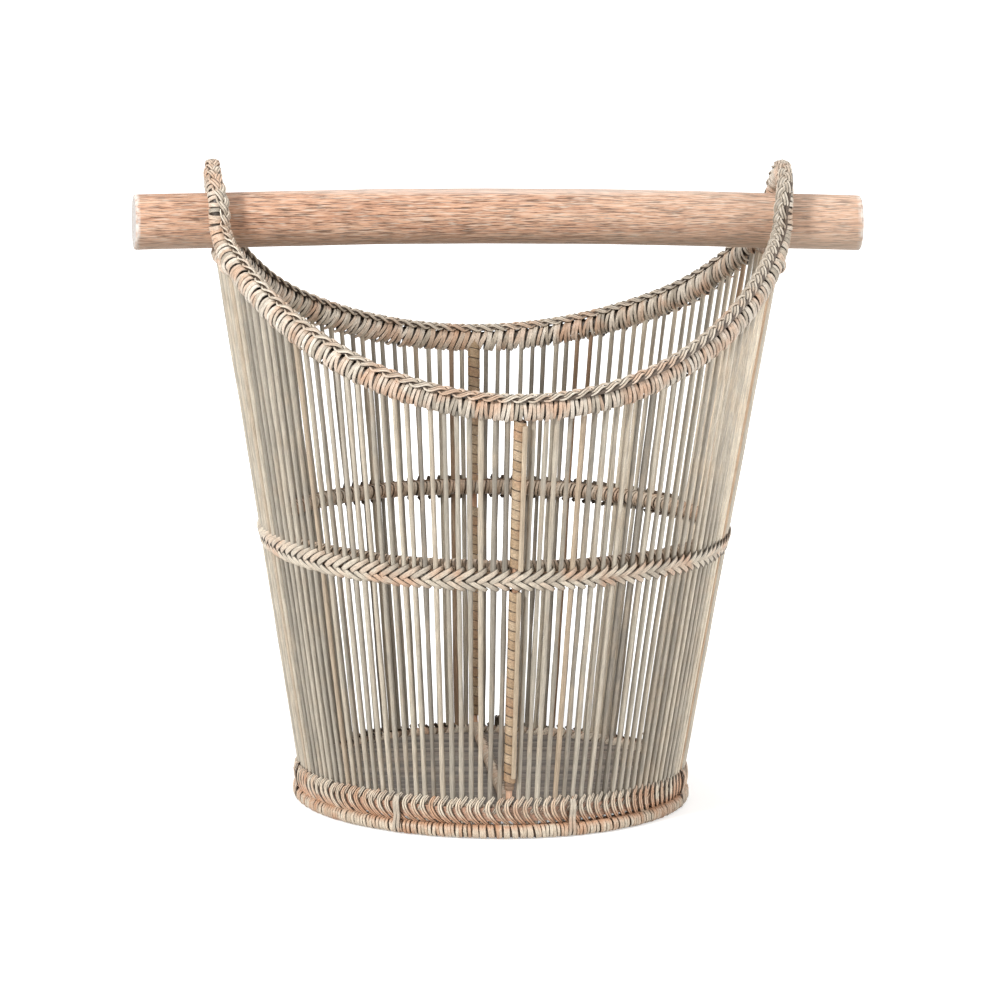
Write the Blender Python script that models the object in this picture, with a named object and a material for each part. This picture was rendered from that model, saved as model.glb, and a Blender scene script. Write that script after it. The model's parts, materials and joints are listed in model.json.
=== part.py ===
"""Round foraging basket of rattan staves with a saddle rim and a loose wooden bar handle.

Metres. +X runs along the handle bar, -Y is the front, +Z is up.
The origin is on the ground under the middle of the foot ring.
"""

import math

import bmesh
import bpy
from mathutils import Vector

MM = 0.001

# Clearance that touching pieces keep
GAP = 0.3 * MM

# Handle bar, which reaches past the wall at both sides
BAR_OVERHANG = 52.6 * MM
BAR_RADIUS = 17 * MM
BAR_HEIGHT = 362 * MM
BAR_CHAMFER = 2.5 * MM
BAR_SIDES = 40

# Wall: a cone of straight staves, measured on the staves' centre lines
WALL_FOOT_RADIUS = 116 * MM
WALL_FLARE = 56.4 * MM
PANEL_COUNT = 22
STAVES_PER_PANEL = 6
STAVE_SHARE = 0.6
STAVE_SIDES = 6

# Rim hoop: two slanting half rings joined by an upright eye at each side
HOOP_RADIUS = 3.9 * MM
HOOP_SIDES = 8
RIM_LOW_HEIGHT = 267 * MM
EYE_TOP_PLAY = 8.6 * MM
EYE_SIDE_PLAY = 5.1 * MM
EYE_BAR_ANGLE = math.radians(15.5)
EYE_STRAND_SHARE = 0.9
EYE_BEND_SHARE = 0.4
ARCH_STEPS = 5
EYE_BEND_STEPS = 5
STRAND_STEPS = 13
BRAID_HALF_WIDTH = 4.6 * MM
BRAID_HALF_HEIGHT = 1.9 * MM
BRAID_SIDES = 8

# Eye bars: the crosspieces that the handle bar lies on, of the same rod as the rim
EYE_BAR_STEPS = 10
COPE_SIDES = 16

# Mid hoop inside the wall and mid band outside it, which holds the staves of a panel
MID_HOOP_RADIUS = 4.2 * MM
MID_HOOP_LIFT = 6.5 * MM
MID_BAND_SHARE = 0.6155
MID_BAND_WIDTH = 12.5 * MM
MID_BAND_BITE = 0.5 * MM
MID_BAND_STEPS = 4
BAND_THICKNESS = 3 * MM
BAND_ROUND = 1 * MM

# Foot ring, base hoop and base band
FOOT_WIRE_RADIUS = 4.9 * MM
FOOT_FLAT_DEPTH = 0.9 * MM
FOOT_SIDES = 8
FOOT_WRAPS = 80
WRAP_GROOVE = 0.5 * MM
BASE_BAND_WIDTH = 15.8 * MM
BASE_BAND_STEPS = 84
BASE_HOOP_RADIUS = 3.5 * MM
BASE_HOOP_LIFT = 1.7 * MM
INNER_HOOP_STEPS = 48

# Ties over base band and foot ring
TIE_COUNT = 7
TIE_WIDTH = 5 * MM
TIE_THICKNESS = 0.8 * MM
TIE_FIRST_ANGLE = math.radians(-71.4)

# Stake frame: front stake, spine and back stake in one rod, with its bindings
FRAME_ROD_SHARE = 0.8
FRAME_SIDES = 6
FRAME_BEND_RADIUS = 8 * MM
FRAME_BEND_STEPS = 4
BINDING_CLEARANCE = 0.5 * MM
STAKE_ROOM_SHARE = 0.9
BINDING_PITCH = 6.2 * MM
BINDING_SIDES = 8

# Floor of side-to-side rods
FLOOR_ROD_RADIUS = 1.6 * MM
FLOOR_ROD_COUNT = 54
FLOOR_GROOVE_SHARE = 0.5

# Sizes that follow: the stave pitch at the foot sets the thickness of staves and stakes
WALL_EYE_RADIUS = WALL_FOOT_RADIUS + WALL_FLARE
STAVE_COUNT = PANEL_COUNT * STAVES_PER_PANEL
STAVE_STEP = math.tau / STAVE_COUNT
STAVE_RADIUS = WALL_FOOT_RADIUS * STAVE_STEP * STAVE_SHARE / 2
FRAME_ROD_RADIUS = STAVE_RADIUS * FRAME_ROD_SHARE

# Sizes that follow: bar, eyes and rim
BAR_LENGTH = 2 * (WALL_EYE_RADIUS + BAR_OVERHANG)
EYE_TOP_HEIGHT = BAR_HEIGHT + BAR_RADIUS + EYE_TOP_PLAY + HOOP_RADIUS
EYE_HALF_WIDTH = BAR_RADIUS + EYE_SIDE_PLAY + HOOP_RADIUS
EYE_STRAND_ANGLE = EYE_BAR_ANGLE * EYE_STRAND_SHARE
EYE_BAR_HEIGHT = BAR_HEIGHT - BAR_RADIUS - GAP - HOOP_RADIUS
RIM_RISE = (EYE_BAR_HEIGHT - RIM_LOW_HEIGHT) / (1 - math.sin(EYE_BAR_ANGLE))

# Sizes that follow: the stake frame passes between mid hoop and mid band
WALL_SLOPE = WALL_FLARE / EYE_BAR_HEIGHT
MID_BAND_HEIGHT = RIM_LOW_HEIGHT * MID_BAND_SHARE
MID_BAND_OFFSET = STAVE_RADIUS - MID_BAND_BITE
BASE_BAND_OFFSET = STAVE_RADIUS + GAP
FRAME_OFFSET = MID_BAND_OFFSET - GAP - FRAME_ROD_RADIUS
MID_HOOP_OFFSET = FRAME_OFFSET - FRAME_ROD_RADIUS - GAP - MID_HOOP_RADIUS
BASE_HOOP_OFFSET = -STAVE_RADIUS - GAP - BASE_HOOP_RADIUS
FOOT_HEIGHT = 2 * FOOT_WIRE_RADIUS - FOOT_FLAT_DEPTH
STAVE_FOOT_HEIGHT = FOOT_HEIGHT + GAP
FOOT_RING_RADIUS = WALL_FOOT_RADIUS + WALL_SLOPE * STAVE_FOOT_HEIGHT
MID_HOOP_HEIGHT = MID_BAND_HEIGHT + MID_HOOP_LIFT
BASE_HOOP_HEIGHT = FOOT_HEIGHT + BASE_HOOP_LIFT + BASE_HOOP_RADIUS
BASE_BAND_HEIGHT = STAVE_FOOT_HEIGHT + BASE_BAND_WIDTH / 2

MATERIALS = {
    "bar_wood": ((0.66, 0.46, 0.36), 0.62),
    "rim_cane": ((0.55, 0.50, 0.44), 0.60),
    "braid_cane": ((0.62, 0.55, 0.47), 0.60),
    "stave_rattan": ((0.47, 0.40, 0.31), 0.65),
    "band_cane": ((0.64, 0.55, 0.46), 0.60),
    "hoop_cane": ((0.50, 0.38, 0.31), 0.62),
    "foot_cane": ((0.58, 0.51, 0.43), 0.62),
    "tie_cane": ((0.68, 0.60, 0.50), 0.60),
    "frame_rattan": ((0.62, 0.42, 0.31), 0.62),
    "binding_cane": ((0.62, 0.57, 0.50), 0.60),
    "floor_rattan": ((0.33, 0.28, 0.22), 0.70),
}


def clear_scene():
    """Empty the scene that Blender starts with."""
    for item in list(bpy.data.objects):
        bpy.data.objects.remove(item, do_unlink=True)


def make_material(name):
    """A plain cane or wood surface with its own colour and roughness."""
    colour, roughness = MATERIALS[name]
    material = bpy.data.materials.get(name) or bpy.data.materials.new(name)
    material.use_nodes = True
    shader = material.node_tree.nodes["Principled BSDF"]
    shader.inputs["Base Color"].default_value = (*colour, 1)
    shader.inputs["Roughness"].default_value = roughness
    return material


def skin(name, loops, material, closed=False):
    """One closed body from rings of points: an endless one, or one with both ends capped.

    loops holds bodies, and each body is a list of rings with as many points each.
    """
    builder = bmesh.new()
    for rings in loops:
        rows = [[builder.verts.new(point) for point in ring] for ring in rings]
        pairs = list(zip(rows, rows[1:]))
        if closed:
            pairs.append((rows[-1], rows[0]))
        else:
            builder.faces.new(rows[0])
            builder.faces.new(rows[-1])
        for lower, upper in pairs:
            for index in range(len(lower)):
                after = (index + 1) % len(lower)
                builder.faces.new((lower[index], lower[after], upper[after], upper[index]))
    bmesh.ops.recalc_face_normals(builder, faces=builder.faces)
    mesh = bpy.data.meshes.new(name)
    builder.to_mesh(mesh)
    builder.free()
    mesh.shade_smooth()
    mesh.set_sharp_from_angle(angle=math.radians(50))
    item = bpy.data.objects.new(name, mesh)
    bpy.context.scene.collection.objects.link(item)
    mesh.materials.append(make_material(material))
    return item


def combine(item, tool, operation):
    """Join a tool to a piece or cut it out of the piece, then remove the tool."""
    change = item.modifiers.new(operation.lower(), "BOOLEAN")
    change.operation = operation
    change.solver = "EXACT"
    change.object = tool
    graph = bpy.context.evaluated_depsgraph_get()
    mesh = bpy.data.meshes.new_from_object(item.evaluated_get(graph))
    item.modifiers.clear()
    item.data = mesh
    bpy.data.objects.remove(tool, do_unlink=True)
    return item


def circle(radius, sides, turn=0.0):
    """Points of a round section, as offsets along its two axes."""
    steps = [turn + math.tau * index / sides for index in range(sides)]
    return [(radius * math.cos(step), radius * math.sin(step)) for step in steps]


def oval(half_width, half_height, sides):
    """Points of an oval section, as offsets along its two axes."""
    return [(half_width * math.cos(step), half_height * math.sin(step)) for step in full_turn(sides)]


def placed(centre, first_axis, second_axis, section):
    """A section's points at a centre, along two axes."""
    return [centre + first_axis * along + second_axis * across for along, across in section]


def wall_radius(height):
    """Radius of the staves' centre lines at a height."""
    return WALL_FOOT_RADIUS + WALL_SLOPE * height


def binding_radius(height, clearances):
    """Radius that a stake's winding can have beside the staves at a height."""
    return wall_radius(height) * STAVE_STEP - STAVE_RADIUS - clearances * BINDING_CLEARANCE


def around(angle, radius, height):
    """A point at an angle and radius about the vertical axis."""
    return Vector((radius * math.cos(angle), radius * math.sin(angle), height))


def hoop_rings(section, angles):
    """Rings of a hoop about the vertical axis, from a section of radius and height pairs."""
    return [[around(angle, radius, height) for radius, height in section] for angle in angles]


def full_turn(steps):
    """Evenly spaced angles of one turn."""
    return [math.tau * index / steps for index in range(steps)]


def handle_bar():
    """The dowel, with a small chamfer at each end, turned about its own axis."""
    end = BAR_LENGTH / 2
    outline = [
        (-end, BAR_RADIUS - BAR_CHAMFER),
        (BAR_CHAMFER - end, BAR_RADIUS),
        (end - BAR_CHAMFER, BAR_RADIUS),
        (end, BAR_RADIUS - BAR_CHAMFER),
    ]
    up, side = Vector((0, 0, 1)), Vector((0, 1, 0))
    rings = [placed(Vector((x, 0, 0)), side, up, circle(radius, BAR_SIDES)) for x, radius in outline]
    bar = skin("handle_bar", [rings], "bar_wood")
    bar.location = (0, 0, BAR_HEIGHT)
    return bar


def rim_height(sine):
    """Height of the rim's centre line where the side angle has this sine."""
    return RIM_LOW_HEIGHT + RIM_RISE * (1 - sine)


def strand_point(angle):
    """A point of the slanting strand, as distance from the bar's plane and height."""
    height = rim_height(math.sin(angle))
    return wall_radius(height) * math.sin(angle), height


def eye_outline():
    """The rim from the top of an eye to the low middle, as distance and height pairs."""
    arch_centre = EYE_TOP_HEIGHT - EYE_HALF_WIDTH
    points = []
    for index in range(ARCH_STEPS):
        turn = math.pi / 2 * (1 - index / ARCH_STEPS)
        points.append((EYE_HALF_WIDTH * math.cos(turn), arch_centre + EYE_HALF_WIDTH * math.sin(turn)))
    leg = Vector((EYE_HALF_WIDTH, arch_centre))
    foot = Vector(strand_point(EYE_STRAND_ANGLE))
    strand_way = (Vector(strand_point(EYE_STRAND_ANGLE / 2)) - foot).normalized()
    reach = (leg - foot).length * EYE_BEND_SHARE
    handles = leg, leg - Vector((0, reach)), foot + strand_way * reach, foot
    for index in range(EYE_BEND_STEPS):
        share = index / EYE_BEND_STEPS
        weights = (1 - share) ** 3, 3 * share * (1 - share) ** 2, 3 * share**2 * (1 - share), share**3
        points.append(tuple(sum((h * w for h, w in zip(handles, weights)), Vector((0, 0)))))
    for index in range(STRAND_STEPS + 1):
        share = index / STRAND_STEPS
        points.append(strand_point(EYE_STRAND_ANGLE + (math.pi / 2 - EYE_STRAND_ANGLE) * share))
    return points


def rim_path():
    """The closed centre line of the rim hoop, out on the wall's cone up to the bar's height."""
    quarter = []
    for distance, height in eye_outline():
        radius = wall_radius(min(height, BAR_HEIGHT))
        quarter.append(Vector((math.sqrt(max(radius**2 - distance**2, 0)), distance, height)))
    quarter[-1].x = 0
    corners = [(1, -1, quarter), (-1, -1, quarter[::-1]), (-1, 1, quarter), (1, 1, quarter[::-1])]
    path = []
    for side, depth, points in corners:
        path += [Vector((side * p.x, depth * p.y, p.z)) for p in points[:-1]]
    return path


def rim_sweep(name, section, lift, material):
    """A section along the rim's centre line, lifted from it on the side away from the staves."""
    path = rim_path()
    rings = []
    for index, point in enumerate(path):
        tangent = (path[(index + 1) % len(path)] - path[index - 1]).normalized()
        outward = Vector((point.x, point.y, 0))
        outward = (outward - tangent * outward.dot(tangent)).normalized()
        away = tangent.cross(outward)
        rings.append(placed(point + away * lift, outward, away, section))
    return skin(name, [rings], material, closed=True)


def eye_bar(name, middle):
    """A crosspiece along the wall's curve, coped at both ends to sit against the rim hoop."""
    radius = wall_radius(EYE_BAR_HEIGHT)
    section = [(radius + a, EYE_BAR_HEIGHT + b) for a, b in circle(HOOP_RADIUS, HOOP_SIDES)]
    shares = [2 * index / EYE_BAR_STEPS - 1 for index in range(EYE_BAR_STEPS + 1)]
    angles = [middle + EYE_BAR_ANGLE * share for share in shares]
    bar = skin(name, [hoop_rings(section, angles)], "hoop_cane")
    cutter = rim_sweep("cope", circle(HOOP_RADIUS + GAP, COPE_SIDES), 0, "rim_cane")
    return combine(bar, cutter, "DIFFERENCE")


def stave_top(angle):
    """Height where a stave ends, just under the rim hoop or under an eye bar."""
    sine = abs(math.sin(angle))
    strand_slope = RIM_RISE * math.sqrt(1 - sine**2) / wall_radius(rim_height(sine))
    drop = (HOOP_RADIUS + GAP) * math.sqrt(1 + strand_slope**2)
    under_rim = rim_height(sine) - drop - STAVE_RADIUS * strand_slope
    under_bar = EYE_BAR_HEIGHT - HOOP_RADIUS - GAP
    return min(under_rim, under_bar) - STAVE_RADIUS * WALL_SLOPE


def stave(angle):
    """A straight round rod from the foot ring to the rim, leaning out with the wall."""
    outward = Vector((math.cos(angle), math.sin(angle), 0))
    across = Vector((-math.sin(angle), math.cos(angle), 0))
    section = circle(STAVE_RADIUS, STAVE_SIDES)
    rings = []
    for height in (STAVE_FOOT_HEIGHT, stave_top(angle)):
        rings.append(placed(around(angle, wall_radius(height), height), outward, across, section))
    return rings


def band_section(middle, width, offset):
    """Section of a lashed band: a strip with rounded outer edges that leans with the wall."""
    half, edge = width / 2, BAND_ROUND
    outline = [
        (0, -half), (BAND_THICKNESS - edge, -half), (BAND_THICKNESS, edge - half),
        (BAND_THICKNESS, half - edge), (BAND_THICKNESS - edge, half), (0, half),
    ]
    section = []
    for depth, rise in outline:
        height = middle + rise
        section.append((wall_radius(height) + offset + depth, height))
    return section


def wall_panel(number):
    """A run of staves held by its length of the mid band, with a place left for a stake."""
    first = STAVES_PER_PANEL * number
    angles = [index * STAVE_STEP for index in range(first, first + STAVES_PER_PANEL)]
    stake_room = math.sin(STAVE_STEP * STAKE_ROOM_SHARE)
    staves = [stave(angle) for angle in angles if abs(math.cos(angle)) > stake_room]
    bundle = skin("staves", staves, "stave_rattan")
    half_gap = GAP / wall_radius(MID_BAND_HEIGHT) / 2
    start = (first - 0.5) * STAVE_STEP + half_gap
    turn = STAVES_PER_PANEL * STAVE_STEP - 2 * half_gap
    angles = [start + turn * index / MID_BAND_STEPS for index in range(MID_BAND_STEPS + 1)]
    section = band_section(MID_BAND_HEIGHT, MID_BAND_WIDTH, MID_BAND_OFFSET)
    panel = skin(f"wall_panel_{number + 1:02d}", [hoop_rings(section, angles)], "stave_rattan")
    return combine(panel, bundle, "UNION")


def base_band():
    """The crossed lashing round the feet of the staves."""
    section = band_section(BASE_BAND_HEIGHT, BASE_BAND_WIDTH, BASE_BAND_OFFSET)
    return skin("base_band", [hoop_rings(section, full_turn(BASE_BAND_STEPS))], "band_cane", closed=True)


def inner_hoop(name, height, radius, offset):
    """A round hoop inside the wall."""
    centre = wall_radius(height) + offset
    section = [(centre + a, height + b) for a, b in circle(radius, HOOP_SIDES)]
    return skin(name, [hoop_rings(section, full_turn(INNER_HOOP_STEPS))], "hoop_cane", closed=True)


def foot_ring():
    """The wound ring that the basket stands on, cut flat underneath."""
    centre = FOOT_WIRE_RADIUS - FOOT_FLAT_DEPTH
    rings = []
    for index, angle in enumerate(full_turn(2 * FOOT_WRAPS)):
        radius = FOOT_WIRE_RADIUS - (index % 2) * WRAP_GROOVE
        section = circle(radius, FOOT_SIDES, math.pi / FOOT_SIDES)
        section = [(FOOT_RING_RADIUS + a, max(centre + b, 0)) for a, b in section]
        rings += hoop_rings(section, [angle])
    return skin("foot_ring", [rings], "foot_cane", closed=True)


def tie(number):
    """A flat lashing bent over the base band and down the foot ring."""
    angle = TIE_FIRST_ANGLE + math.tau * number / TIE_COUNT
    top = BASE_BAND_HEIGHT + BASE_BAND_WIDTH / 2
    band_face = wall_radius(top) + BASE_BAND_OFFSET + BAND_THICKNESS + GAP
    ring_face = FOOT_RING_RADIUS + FOOT_WIRE_RADIUS + GAP
    line = [
        (band_face - BAND_THICKNESS, top + GAP),
        (band_face, top + GAP),
        (band_face, STAVE_FOOT_HEIGHT),
        (ring_face, FOOT_WIRE_RADIUS - FOOT_FLAT_DEPTH),
        (ring_face, FOOT_FLAT_DEPTH),
    ]
    across = Vector((-math.sin(angle), math.cos(angle), 0)) * (TIE_WIDTH / 2)
    rings = []
    for index, (radius, height) in enumerate(line):
        lift = TIE_THICKNESS if index < 2 else 0
        out = 0 if index == 0 else TIE_THICKNESS
        inner, outer = around(angle, radius, height), around(angle, radius + out, height + lift)
        rings.append([inner - across, inner + across, outer + across, outer - across])
    return skin(f"base_tie_{number + 1}", [rings], "tie_cane")


def base_hoop_bore():
    """Clear radius inside the base hoop."""
    return wall_radius(BASE_HOOP_HEIGHT) + BASE_HOOP_OFFSET - BASE_HOOP_RADIUS


def floor_top():
    """Height of the floor rods' backs."""
    return BASE_HOOP_HEIGHT + FLOOR_ROD_RADIUS


def floor():
    """Rods laid side by side, filling the base hoop: a round mat grooved between the rods."""
    edge = base_hoop_bore() - GAP
    rings = []
    for index in range(1, 2 * FLOOR_ROD_COUNT):
        y = edge * (index / FLOOR_ROD_COUNT - 1)
        half = FLOOR_ROD_RADIUS * (1 if index % 2 else FLOOR_GROOVE_SHARE)
        x = math.sqrt(edge**2 - y**2)
        low, high = BASE_HOOP_HEIGHT - half, BASE_HOOP_HEIGHT + half
        rings.append([Vector((-x, y, low)), Vector((x, y, low)), Vector((x, y, high)), Vector((-x, y, high))])
    return skin("floor_mat", [rings], "floor_rattan")


def spine_binding_radius():
    """Radius of the spine's winding, the same as the stakes' lower winding."""
    return binding_radius(STAVE_FOOT_HEIGHT, 1)


def spine_height():
    """The spine lies on the floor in its binding, and clears the base hoop."""
    over_floor = floor_top() + GAP + spine_binding_radius()
    over_hoop = BASE_HOOP_HEIGHT + BASE_HOOP_RADIUS + GAP + FRAME_ROD_RADIUS
    return max(over_floor, over_hoop)


def stake_place(height):
    """Distance of a stake's centre line from the middle."""
    return wall_radius(height) + FRAME_OFFSET


def frame_outline():
    """Half of the stake frame as distance and height: stake top, bend, and spine."""
    lean = Vector((WALL_SLOPE, 1)).normalized()
    spine = spine_height()
    corner = Vector((stake_place(spine), spine))
    turn = math.acos(-lean.dot(Vector((-1, 0))))
    back = FRAME_BEND_RADIUS * math.tan(turn / 2)
    start, finish = corner + lean * back, corner - Vector((back, 0))
    top = RIM_LOW_HEIGHT - HOOP_RADIUS - GAP - FRAME_ROD_RADIUS * WALL_SLOPE
    points = [Vector((stake_place(top), top))]
    for index in range(FRAME_BEND_STEPS + 1):
        share = index / FRAME_BEND_STEPS
        ends = start * (1 - share) ** 2 + finish * share**2
        points.append(ends + corner * 2 * share * (1 - share))
    return points


def stake_frame():
    """One rod bent to a U: front stake, spine over the floor, back stake."""
    half = frame_outline()
    path = [Vector((0, -p.x, p.y)) for p in half] + [Vector((0, p.x, p.y)) for p in reversed(half)]
    side = Vector((1, 0, 0))
    rings = []
    for index, point in enumerate(path):
        after, before = path[min(index + 1, len(path) - 1)], path[max(index - 1, 0)]
        tangent = (after - before).normalized()
        rings.append(placed(point, side, tangent.cross(side), circle(FRAME_ROD_RADIUS, FRAME_SIDES)))
    return skin("stake_frame", [rings], "frame_rattan")


def binding(name, start, finish, radius):
    """Flat cane wound round a rod: a bored sleeve with a groove between the turns."""
    way = finish - start
    turns = max(round(way.length / BINDING_PITCH), 1)
    side = Vector((1, 0, 0))
    other = way.normalized().cross(side)
    outer = []
    for index in range(2 * turns + 1):
        size = radius - (WRAP_GROOVE if index % 2 == 0 else 0)
        centre = start + way * (index / (2 * turns))
        outer.append(placed(centre, side, other, circle(size, BINDING_SIDES)))
    bore = circle(FRAME_ROD_RADIUS + GAP, BINDING_SIDES)
    inner = [placed(centre, side, other, bore) for centre in (finish, start)]
    return skin(name, [outer + inner], "binding_cane", closed=True)


def stake_bindings(name, depth):
    """The two bindings of one stake, above and below the mid band."""
    lower_radius = binding_radius(STAVE_FOOT_HEIGHT, 1)
    upper_radius = binding_radius(MID_BAND_HEIGHT, 2)
    base_top = BASE_BAND_HEIGHT + BASE_BAND_WIDTH / 2
    mid_low = min(MID_BAND_HEIGHT - MID_BAND_WIDTH / 2, MID_HOOP_HEIGHT - MID_HOOP_RADIUS)
    mid_high = max(MID_BAND_HEIGHT + MID_BAND_WIDTH / 2, MID_HOOP_HEIGHT + MID_HOOP_RADIUS)
    rim_low = RIM_LOW_HEIGHT - HOOP_RADIUS
    lower_room, upper_room = GAP + lower_radius * WALL_SLOPE, GAP + upper_radius * WALL_SLOPE
    spans = [
        ("lower", base_top + lower_room, mid_low - lower_room, lower_radius),
        ("upper", mid_high + upper_room, rim_low - upper_room, upper_radius),
    ]
    for place, low, high, radius in spans:
        ends = [Vector((0, depth * stake_place(height), height)) for height in (low, high)]
        binding(f"{name}_{place}_binding", ends[0], ends[1], radius)


def spine_binding():
    """The winding of the spine, from side to side of the base hoop's bore."""
    bend_start = frame_outline()[-1].x
    reach = min(base_hoop_bore(), bend_start) - GAP
    height = spine_height()
    ends = [Vector((0, side * reach, height)) for side in (-1, 1)]
    binding("spine_binding", ends[0], ends[1], spine_binding_radius())


def build():
    clear_scene()
    handle_bar()
    rim_sweep("rim_hoop", circle(HOOP_RADIUS, HOOP_SIDES), 0, "rim_cane")
    plait = oval(BRAID_HALF_WIDTH, BRAID_HALF_HEIGHT, BRAID_SIDES)
    rim_sweep("rim_braid", plait, HOOP_RADIUS + GAP + BRAID_HALF_HEIGHT, "braid_cane")
    eye_bar("eye_bar_right", 0)
    eye_bar("eye_bar_left", math.pi)
    for number in range(PANEL_COUNT):
        wall_panel(number)
    inner_hoop("mid_hoop", MID_HOOP_HEIGHT, MID_HOOP_RADIUS, MID_HOOP_OFFSET)
    inner_hoop("base_hoop", BASE_HOOP_HEIGHT, BASE_HOOP_RADIUS, BASE_HOOP_OFFSET)
    base_band()
    foot_ring()
    for number in range(TIE_COUNT):
        tie(number)
    floor()
    stake_frame()
    stake_bindings("front", -1)
    stake_bindings("back", 1)
    spine_binding()


build()
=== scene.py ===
# %% [markdown]
# # A foraging basket of rattan staves
# A real basket of this kind is two rings and a saddle-shaped rim, joined by straight rods. Every
# joint is bound with flat cane. Modelling each strip by hand would take days, and one textured
# shell would look like a picture of a basket. So the rods and strips here are real geometry:
# each repeated shape is modelled once, and Geometry Nodes lay it wherever the maker's hand did.

# %% Load the frame
import json
import math
from collections import namedtuple

import bmesh
import bpy
import numpy as np
from mathutils import Matrix, Vector

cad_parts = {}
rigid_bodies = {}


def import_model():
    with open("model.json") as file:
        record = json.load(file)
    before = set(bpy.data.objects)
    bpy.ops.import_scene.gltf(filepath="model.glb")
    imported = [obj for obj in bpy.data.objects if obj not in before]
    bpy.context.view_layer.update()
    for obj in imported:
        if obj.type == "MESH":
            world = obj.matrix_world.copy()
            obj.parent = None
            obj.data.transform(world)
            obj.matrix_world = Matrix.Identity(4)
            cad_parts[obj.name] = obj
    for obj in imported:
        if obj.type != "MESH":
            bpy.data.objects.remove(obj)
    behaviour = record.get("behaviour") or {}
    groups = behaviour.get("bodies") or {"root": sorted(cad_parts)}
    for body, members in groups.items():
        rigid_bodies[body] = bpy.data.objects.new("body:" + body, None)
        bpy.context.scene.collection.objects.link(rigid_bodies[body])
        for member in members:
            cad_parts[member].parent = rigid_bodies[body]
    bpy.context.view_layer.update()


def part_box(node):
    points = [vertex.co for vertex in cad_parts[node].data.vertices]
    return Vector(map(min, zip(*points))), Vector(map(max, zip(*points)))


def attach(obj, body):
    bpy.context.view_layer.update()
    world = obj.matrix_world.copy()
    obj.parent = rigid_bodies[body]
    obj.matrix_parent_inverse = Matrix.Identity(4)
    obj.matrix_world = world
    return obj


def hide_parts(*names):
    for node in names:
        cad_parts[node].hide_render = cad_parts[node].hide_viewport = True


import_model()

MM = 0.001

# %% [markdown]
# ## Camera, light and floor
# The photograph was taken from far away with a long lens, a little left of the middle and a
# little above the rim, and the picture leans by under a degree. A camera is only a matrix:
# its X axis points right, its Y axis up, and it looks along -Z.

# %% Set the camera
CAMERA_REACH = 3.7
CAMERA_HEIGHT = 0.855
CAMERA_TURN = math.radians(5.3)
CAMERA_DIP = math.radians(10.23)
CAMERA_ROLL = math.radians(0.75)
PICTURE_SHIFT = math.radians(0.053)
BAR_LEVEL = 0.362
FOCAL_SHARE = 1.6231 * math.hypot(CAMERA_REACH, CAMERA_HEIGHT - BAR_LEVEL)
SENSOR_WIDTH = 36


def new_object(name, data):
    """An object at the origin, in the scene."""
    item = bpy.data.objects.new(name, data)
    bpy.context.scene.collection.objects.link(item)
    return item


def set_camera():
    """The photograph's view of the basket."""
    data = bpy.data.cameras.new("photo_view")
    data.sensor_width = SENSOR_WIDTH
    data.lens = SENSOR_WIDTH * FOCAL_SHARE
    data.clip_end = 30
    camera = new_object("photo_view", data)
    turn = CAMERA_TURN + PICTURE_SHIFT
    ahead = Vector((math.sin(turn) * math.cos(CAMERA_DIP), math.cos(turn) * math.cos(CAMERA_DIP),
                    -math.sin(CAMERA_DIP)))
    level_right = Vector((math.cos(turn), -math.sin(turn), 0))
    level_up = level_right.cross(ahead)
    right = level_right * math.cos(CAMERA_ROLL) + level_up * math.sin(CAMERA_ROLL)
    up = level_up * math.cos(CAMERA_ROLL) - level_right * math.sin(CAMERA_ROLL)
    place = Vector((-math.sin(CAMERA_TURN), -math.cos(CAMERA_TURN), 0)) * CAMERA_REACH
    place.z = CAMERA_HEIGHT
    axes = Matrix((right, up, -ahead)).transposed().to_4x4()
    camera.matrix_world = Matrix.Translation(place) @ axes
    bpy.context.scene.camera = camera
    print("camera: lens", round(data.lens, 1), "mm at", [round(c, 3) for c in place])


set_camera()

# %% Make node trees short to write


def outlet(source, name=None):
    """A node's first live output, or the one with this name."""
    live = [socket for socket in source.outputs if socket.enabled]
    return live[0] if name is None else next(socket for socket in live if socket.name == name)


def add(tree, kind, feeds=None, **settings):
    """A new node with its settings made, and its inputs linked or set by name or number."""
    item = tree.nodes.new(kind)
    for name, value in settings.items():
        setattr(item, name, value)
    for key, value in (feeds or {}).items():
        live = [socket for socket in item.inputs if socket.enabled]
        socket = live[key] if isinstance(key, int) else next(s for s in live if s.name == key)
        if isinstance(value, bpy.types.Node):
            value = outlet(value)
        if isinstance(value, bpy.types.NodeSocket):
            tree.links.new(value, socket)
        else:
            socket.default_value = value
    return item


def calc(tree, operation, *terms):
    """One step of arithmetic."""
    return add(tree, "ShaderNodeMath", dict(enumerate(terms)), operation=operation)


def vector(tree, operation, *terms):
    """One step of arithmetic with vectors."""
    return add(tree, "ShaderNodeVectorMath", dict(enumerate(terms)), operation=operation)


def combined(tree, x=0.0, y=0.0, z=0.0):
    """A vector of three numbers."""
    return add(tree, "ShaderNodeCombineXYZ", {0: x, 1: y, 2: z})


def spread(tree, value, low, high, to_low=0.0, to_high=1.0):
    """A value moved from one range to another and kept in it."""
    feeds = {"Value": value, "From Min": low, "From Max": high, "To Min": to_low, "To Max": to_high}
    return outlet(add(tree, "ShaderNodeMapRange", feeds))


def noise(tree, place, scale, detail=2.0, roughness=0.5, distortion=0.0):
    """Soft random values over a surface."""
    return add(tree, "ShaderNodeTexNoise", {"Vector": place, "Scale": scale, "Detail": detail,
                                            "Roughness": roughness, "Distortion": distortion})


def new_material(name):
    """A material and its empty tree."""
    material = bpy.data.materials.new(name)
    material.use_nodes = True
    material.node_tree.nodes.clear()
    return material, material.node_tree


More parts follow.
